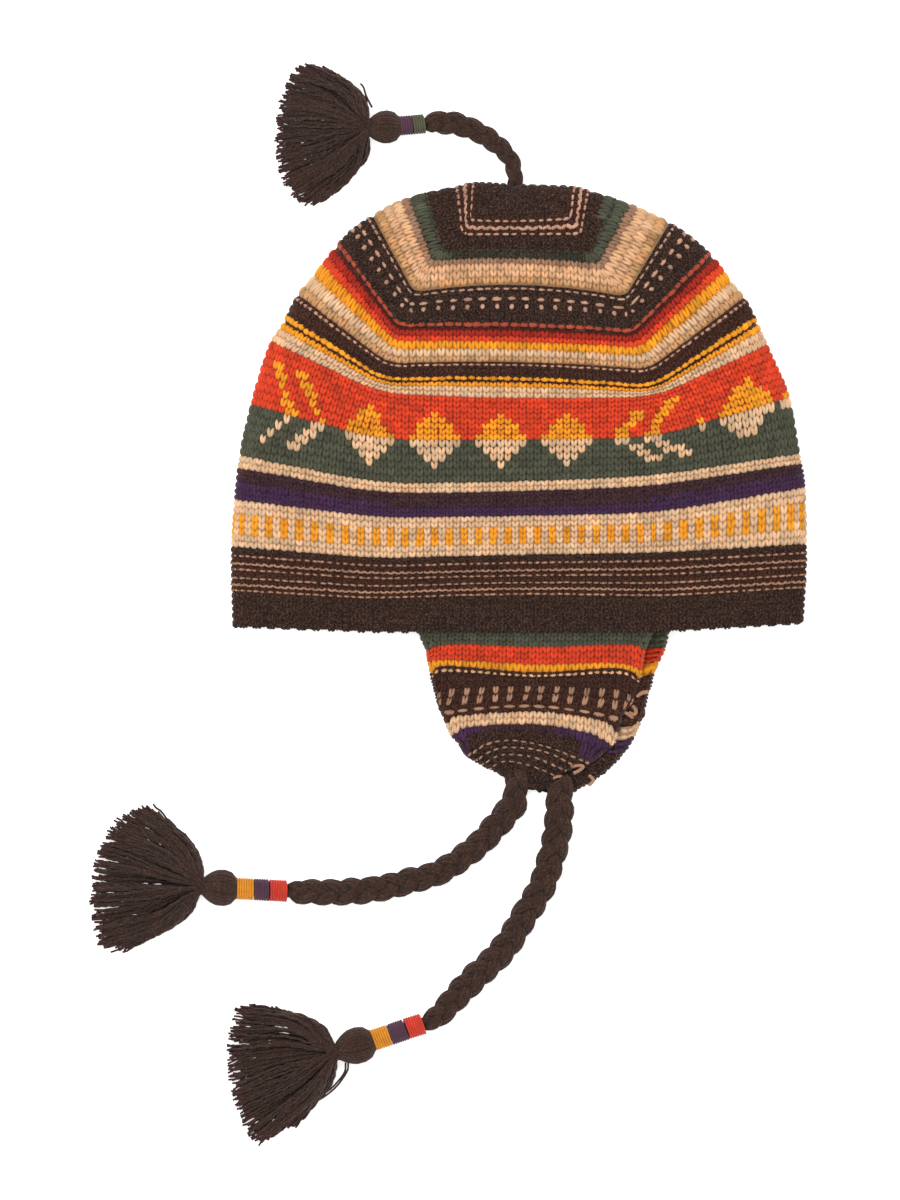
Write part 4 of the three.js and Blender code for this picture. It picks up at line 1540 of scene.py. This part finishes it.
FAR_COURSES = np.array([
    (-6, -38.3, -54, -8.6, -54, 14.8, -54, 45.5, -54, 68.4, -54),
    (0, -37.4, -64.4, -8.6, -64.4, 14.8, -64.4, 45.5, -64.4, 67.3, -63.9),
    (4, -36, -71.5, -8.6, -71.1, 14.8, -71.1, 53.6, -72, 65.7, -71.8),
    (9, -35.6, -78.3, -8.6, -78.3, 14.8, -78.3, 53.1, -78.8, 62.6, -77.9),
    (11, -35.1, -82.4, -8.6, -82.8, 14.8, -82.8, 52.6, -84.2, 60.8, -83.2),
    (17, -32.9, -90.5, -8.6, -90.5, 14.8, -90.5, 50, -92.2, 58.5, -90.5),
    (22, -30.6, -97.7, -8.6, -97.7, 14.8, -97.7, 47.2, -99.9, 56.7, -98.5),
    (24, -29.2, -101.2, -8.6, -101.2, 14.8, -101.2, 45.9, -107.1, 54.7, -104.9),
    (28, -26.6, -107.1, -8.6, -107.1, 14.8, -107.1, 43.6, -113, 52, -111.6),
    (30, -24.3, -110.7, -8.6, -110.2, 14.8, -110.2, 41, -116.5, 49.5, -115.7),
    (36, -17.6, -118.4, -4, -118.8, 14.8, -120.2, 33.3, -124.7, 41.4, -125.1),
    (40, -10.8, -122.9, 0.5, -124.2, 14.8, -126, 26.1, -129.6, 35.1, -130.1),
    (44, 0, -128.7, 6.3, -130.1, 14.8, -132.3, 22.1, -133.7, 28.4, -134.1),
    (47, 8.6, -135.5, 11.2, -136.3, 14.8, -137.2, 18.4, -137.7, 22.1, -137.7),
])
FLAP_CHART = [
    (-6, 7, "green", "plain"),
    (4, 3, "orange", "plain"),
    (9, 1, "yellow", "plain"),
    (11, 0, "rust", "groove"),
    (11.8, 7, "rust", "plain"),
    (24, 2, "cream", "plain"),
    (28, 1, "plum", "sides", "purple", (-7, 3)),
    (30, 1, "brown", "sides", "purple", (-9, 6.5)),
    (32, 8, "brown", "plain"),
]
FLAP_MARKS = [
    # row of its middle, kind, yarn
    (12.3, "dash", "sand"), (17.9, "vee", "fawn"), (20.0, "vee", "fawn"), (22.4, "long bar", "fawn"),
    (32.2, "thin dash", "fawn"), (34.2, "thin dash", "fawn"), (36.2, "thin dash", "fawn"),
    (38.2, "thin dash", "fawn"),
]
print("courses of a flap:", len(courses_of(FLAP_CHART, NEAR_COURSES[-1, 0])))

# %% [markdown]
# The tops of the flaps rise to where they are sewn in: the near one to the upper layer
# of the hem, the far one to the lower. Their edges are rounded, and a selvedge of one
# stitch for each row runs along them.

# %% Flaps
# height of the top over the table at the tip, rise to the hem, from where to where in y,
# and how high the right side curls up
NEAR_RISE = (6.3, 10.4, -96, -64, 0.0)
FAR_RISE = (3.0, 3.3, -76, -64, 4.5)
# points of a course of a flap, and how many of them are one step of its wall
FLAP_STEPS, WALL_STEP = 81, 4
# how deep and how wide a flap's edge is rounded
EDGE_ROUND, EDGE_REACH = 1.2, 2.5
# an edge stitch's width in walls, its length in rows, and the shortest one in mm
EDGE_WIDE, EDGE_LONG, SHORTEST_EDGE = 0.9, 1.5, 1.2
EDGE_DEPTH, EDGE_UNEVEN = 1.3, 0.5
# from where to where in x and in y the far flap's side curls up beside the near flap
CURL_ACROSS, CURL_UP = (44, 58), (-108, -84)


def flap_height(places, rise):
    """Height of a flap's outer skin at places seen from above."""
    low, more, start, end, curl = rise
    curled = curl * smoothstep(places[:, 0], *CURL_ACROSS) * smoothstep(places[:, 1], *CURL_UP)
    return low + more * smoothstep(places[:, 1], start, end) + curled


def flap_line(courses, rise, row):
    """Points of one course of a flap on its outer skin, from left to right."""
    marks = [float(through(row, courses[:, 0], column)) for column in courses[:, 1:].T]
    points = np.column_stack([np.reshape(marks, (5, 2)), np.zeros(5)])
    line = spread(even_line(points, 0.5), FLAP_STEPS)
    way = np.linspace(0, length_of(line), FLAP_STEPS)
    edge = np.minimum(way, way[::-1])
    line[:, 2] = flap_height(line, rise) - EDGE_ROUND * (1 - margin(edge, EDGE_REACH))
    return line


def flap_course(courses, rise, low, high, wales=1.0):
    """Stitches of a flap between two rows, counted from the middle of the course."""
    below, above = (measured(flap_line(courses, rise, row)) for row in (low, high))
    half, half_above = below[1][-1] / 2, above[1][-1] / 2
    centre, width, wale = cells(-half, half, WALE * wales)
    spare = min(SPARE * WALE, half_above)
    end = at_way(above, half_above + np.clip(centre, spare - half_above, half_above - spare))
    start = at_way(below, half + centre)
    right, left = (at_way(below, half + centre + width * side) for side in (0.5, -0.5))
    sideways = unit(right - left)
    # seen from above the flap is knitted downwards, so that its Vs point down
    table = stitches_between(end, start, sideways * width[:, None], wale, (low + high) / 2)
    return dict(table, column=centre / WALE)


def selvedge(rows, lines):
    """Upright strokes along both edges of a flap, that face outwards."""
    groups = []
    yarn = np.array([YARN_NUMBER[name] for name in yarn_names(rows[:-1])])
    for line, side in ((lines[:, 0], -1), (lines[:, -1], 1)):
        along = -np.diff(line, axis=0)
        short = np.linalg.norm(along, axis=1) < SHORTEST_EDGE
        along[short] = unit(along[short]) * SHORTEST_EDGE
        out = unit(np.cross(along, UP))
        out[out[:, 0] * side < 0] *= -1
        centre = (line[1:] + line[:-1]) / 2 - UP * (WALL / 2 - EDGE_ROUND)
        edge = {
            "centre": centre,
            "across": unit(np.cross(along, out)) * WALL * EDGE_WIDE,
            "along": along * EDGE_LONG,
            "out": out,
        }
        groups.append(group(edge, EDGE, yarn, EDGE_DEPTH, EDGE_UNEVEN))
    return groups


def yarn_names(rows):
    """The yarn of a flap above each row."""
    starts = np.array([band[0] for band in FLAP_CHART])
    return [FLAP_CHART[np.searchsorted(starts, row + 0.5, side="right") - 1][2] for row in rows]


def add_flap(name, courses, rise, purl, marks):
    """A flap's wall and its stitches, and the flat area of its knit."""
    rows = np.arange(courses[0, 0], courses[-1, 0] + 1)
    lines = np.array([flap_line(courses, rise, row) for row in rows])
    # the grid runs from right to left, so that its normals point up
    grid = lines[:, ::-WALL_STEP]
    grid = grid - grid_normals(grid, False) * STITCH_DEPTH
    grid[..., 2] = np.maximum(grid[..., 2], BACKING)
    wall = wall_mesh(name + "_wall", grid, rows, FLAP_CHART, False)
    skin = sum(face.area for face in wall.data.polygons)
    finished(wall, knit_wool, [name])

    course_at = partial(flap_course, courses, rise)
    everywhere = (courses[0, 0], courses[-1, 0])
    last = courses[-1, 0] - 0.3
    groups = knit(course_at, FLAP_CHART, last, everywhere, fine=not purl, purl=purl)
    groups += marked(course_at, marks, everywhere)
    print(name, "flat area", round(skin * 1e4, 1), "square centimetres")
    return wall, laid(name + "_stitches", groups + selvedge(rows, lines)), skin


near_flap = add_flap("flap_near", NEAR_COURSES, NEAR_RISE, False, FLAP_MARKS)
far_flap = add_flap("flap_far", FAR_COURSES, FAR_RISE, True, [])

# %% [markdown]
# Where the pattern yarns end they were darned in by hand: a few loose strokes of tan
# yarn lie on the near flap's edge and on the strip of the far flap beside it. They are
# short yarns on top of the stitches.

# %% Darned ends
# flap, half thickness, then x y of the points of a yarn in mm
DARNED = [
    ("near", 0.75, [(23.4, -125.0), (26.4, -124.4), (29.0, -124.8), (27.0, -126.6), (24.6, -127.8)]),
    ("near", 0.7, [(15.3, -130.2), (17.6, -129.4), (19.6, -129.8), (17.4, -132.0), (14.8, -133.8)]),
    ("far", 0.8, [(31.6, -128.8), (33.4, -131.0), (31.4, -133.4)]),
    ("far", 0.75, [(48.4, -90.4), (50.2, -90.0), (52.4, -90.4)]),
    ("far", 0.9, [(53.2, -93.2), (55.6, -91.6), (58.0, -91.2)]),
    ("far", 0.8, [(47.4, -97.0), (49.6, -93.8), (51.2, -93.4), (50.0, -96.6), (47.0, -98.6)]),
    ("far", 0.9, [(51.2, -97.6), (52.6, -99.6), (51.8, -101.4), (49.6, -100.6)]),
    ("far", 0.85, [(44.2, -102.2), (46.8, -100.4), (49.8, -101.8), (51.4, -103.4)]),
]
# how deep a yarn lies in the stitches, and how much deeper its ends
DARN_DEPTH, DARN_ENDS = 0.1, 0.9
tan_wool = wool("wool_yarn_tan", linear("#b5876a"), 0.3)
RISES = {"near": NEAR_RISE, "far": FAR_RISE}
for flap in RISES:
    lines, widths = [], []
    for name, thick, points in DARNED:
        if name == flap:
            flat = np.array(points)
            height = flap_height(flat, RISES[flap]) - DARN_DEPTH
            height[[0, -1]] -= DARN_ENDS
            lines.append(even_line(np.column_stack([flat, height]), 0.6))
            widths.append(thick)
    ends = yarn_mesh("darned_ends_" + flap, lines, widths)
    finished(ends, tan_wool)
    print(ends.name, len(lines), "ends,", triangles(ends), "triangles")

# %% [markdown]

# %% [markdown]
# ## Floor and light
#
# The photo has a white ground and even light with hardly a shadow. A large plane and a
# bright sky of one colour give that; a big soft lamp from the upper left brings out
# the relief of the knit.

# %% Floor and light
floor_mesh = bmesh.new()
bmesh.ops.create_grid(floor_mesh, x_segments=1, y_segments=1, size=3)
floor_data = bpy.data.meshes.new("floor")
floor_mesh.to_mesh(floor_data)
floor_mesh.free()
floor = bpy.data.objects.new("floor", floor_data)
bpy.context.scene.collection.objects.link(floor)
paper = bpy.data.materials.new("white_paper")
paper.use_nodes = True
# paper glows a little, so that it stays white beside the hat too
looks = {
    "Base Color": (0.93, 0.93, 0.925, 1),
    "Roughness": 0.9,
    "Emission Color": (1, 1, 1, 1),
    "Emission Strength": 0.6,
}
for socket, value in looks.items():
    paper.node_tree.nodes["Principled BSDF"].inputs[socket].default_value = value
floor_data.materials.append(paper)

world = bpy.data.worlds.new("studio")
world.use_nodes = True
world.node_tree.nodes["Background"].inputs["Color"].default_value = (1, 1, 1, 1)
world.node_tree.nodes["Background"].inputs["Strength"].default_value = 0.84
bpy.context.scene.world = world
bpy.context.scene.view_settings.view_transform = "Standard"


def soft_lamp(name, place, size, power):
    """A square lamp of a size in metres and a power in watts that faces the hat."""
    lamp = bpy.data.lights.new(name, "AREA")
    lamp.size = size
    lamp.energy = power
    obj = bpy.data.objects.new(name, lamp)
    obj.location = place
    obj.rotation_mode = "QUATERNION"
    obj.rotation_quaternion = (-Vector(place)).to_track_quat("-Z", "Y")
    bpy.context.scene.collection.objects.link(obj)
    return obj


soft_lamp("soft_lamp_upper_left", (-0.45, 0.55, 2.2), 1.4, 27)
print("floor, sky and lamp are set")
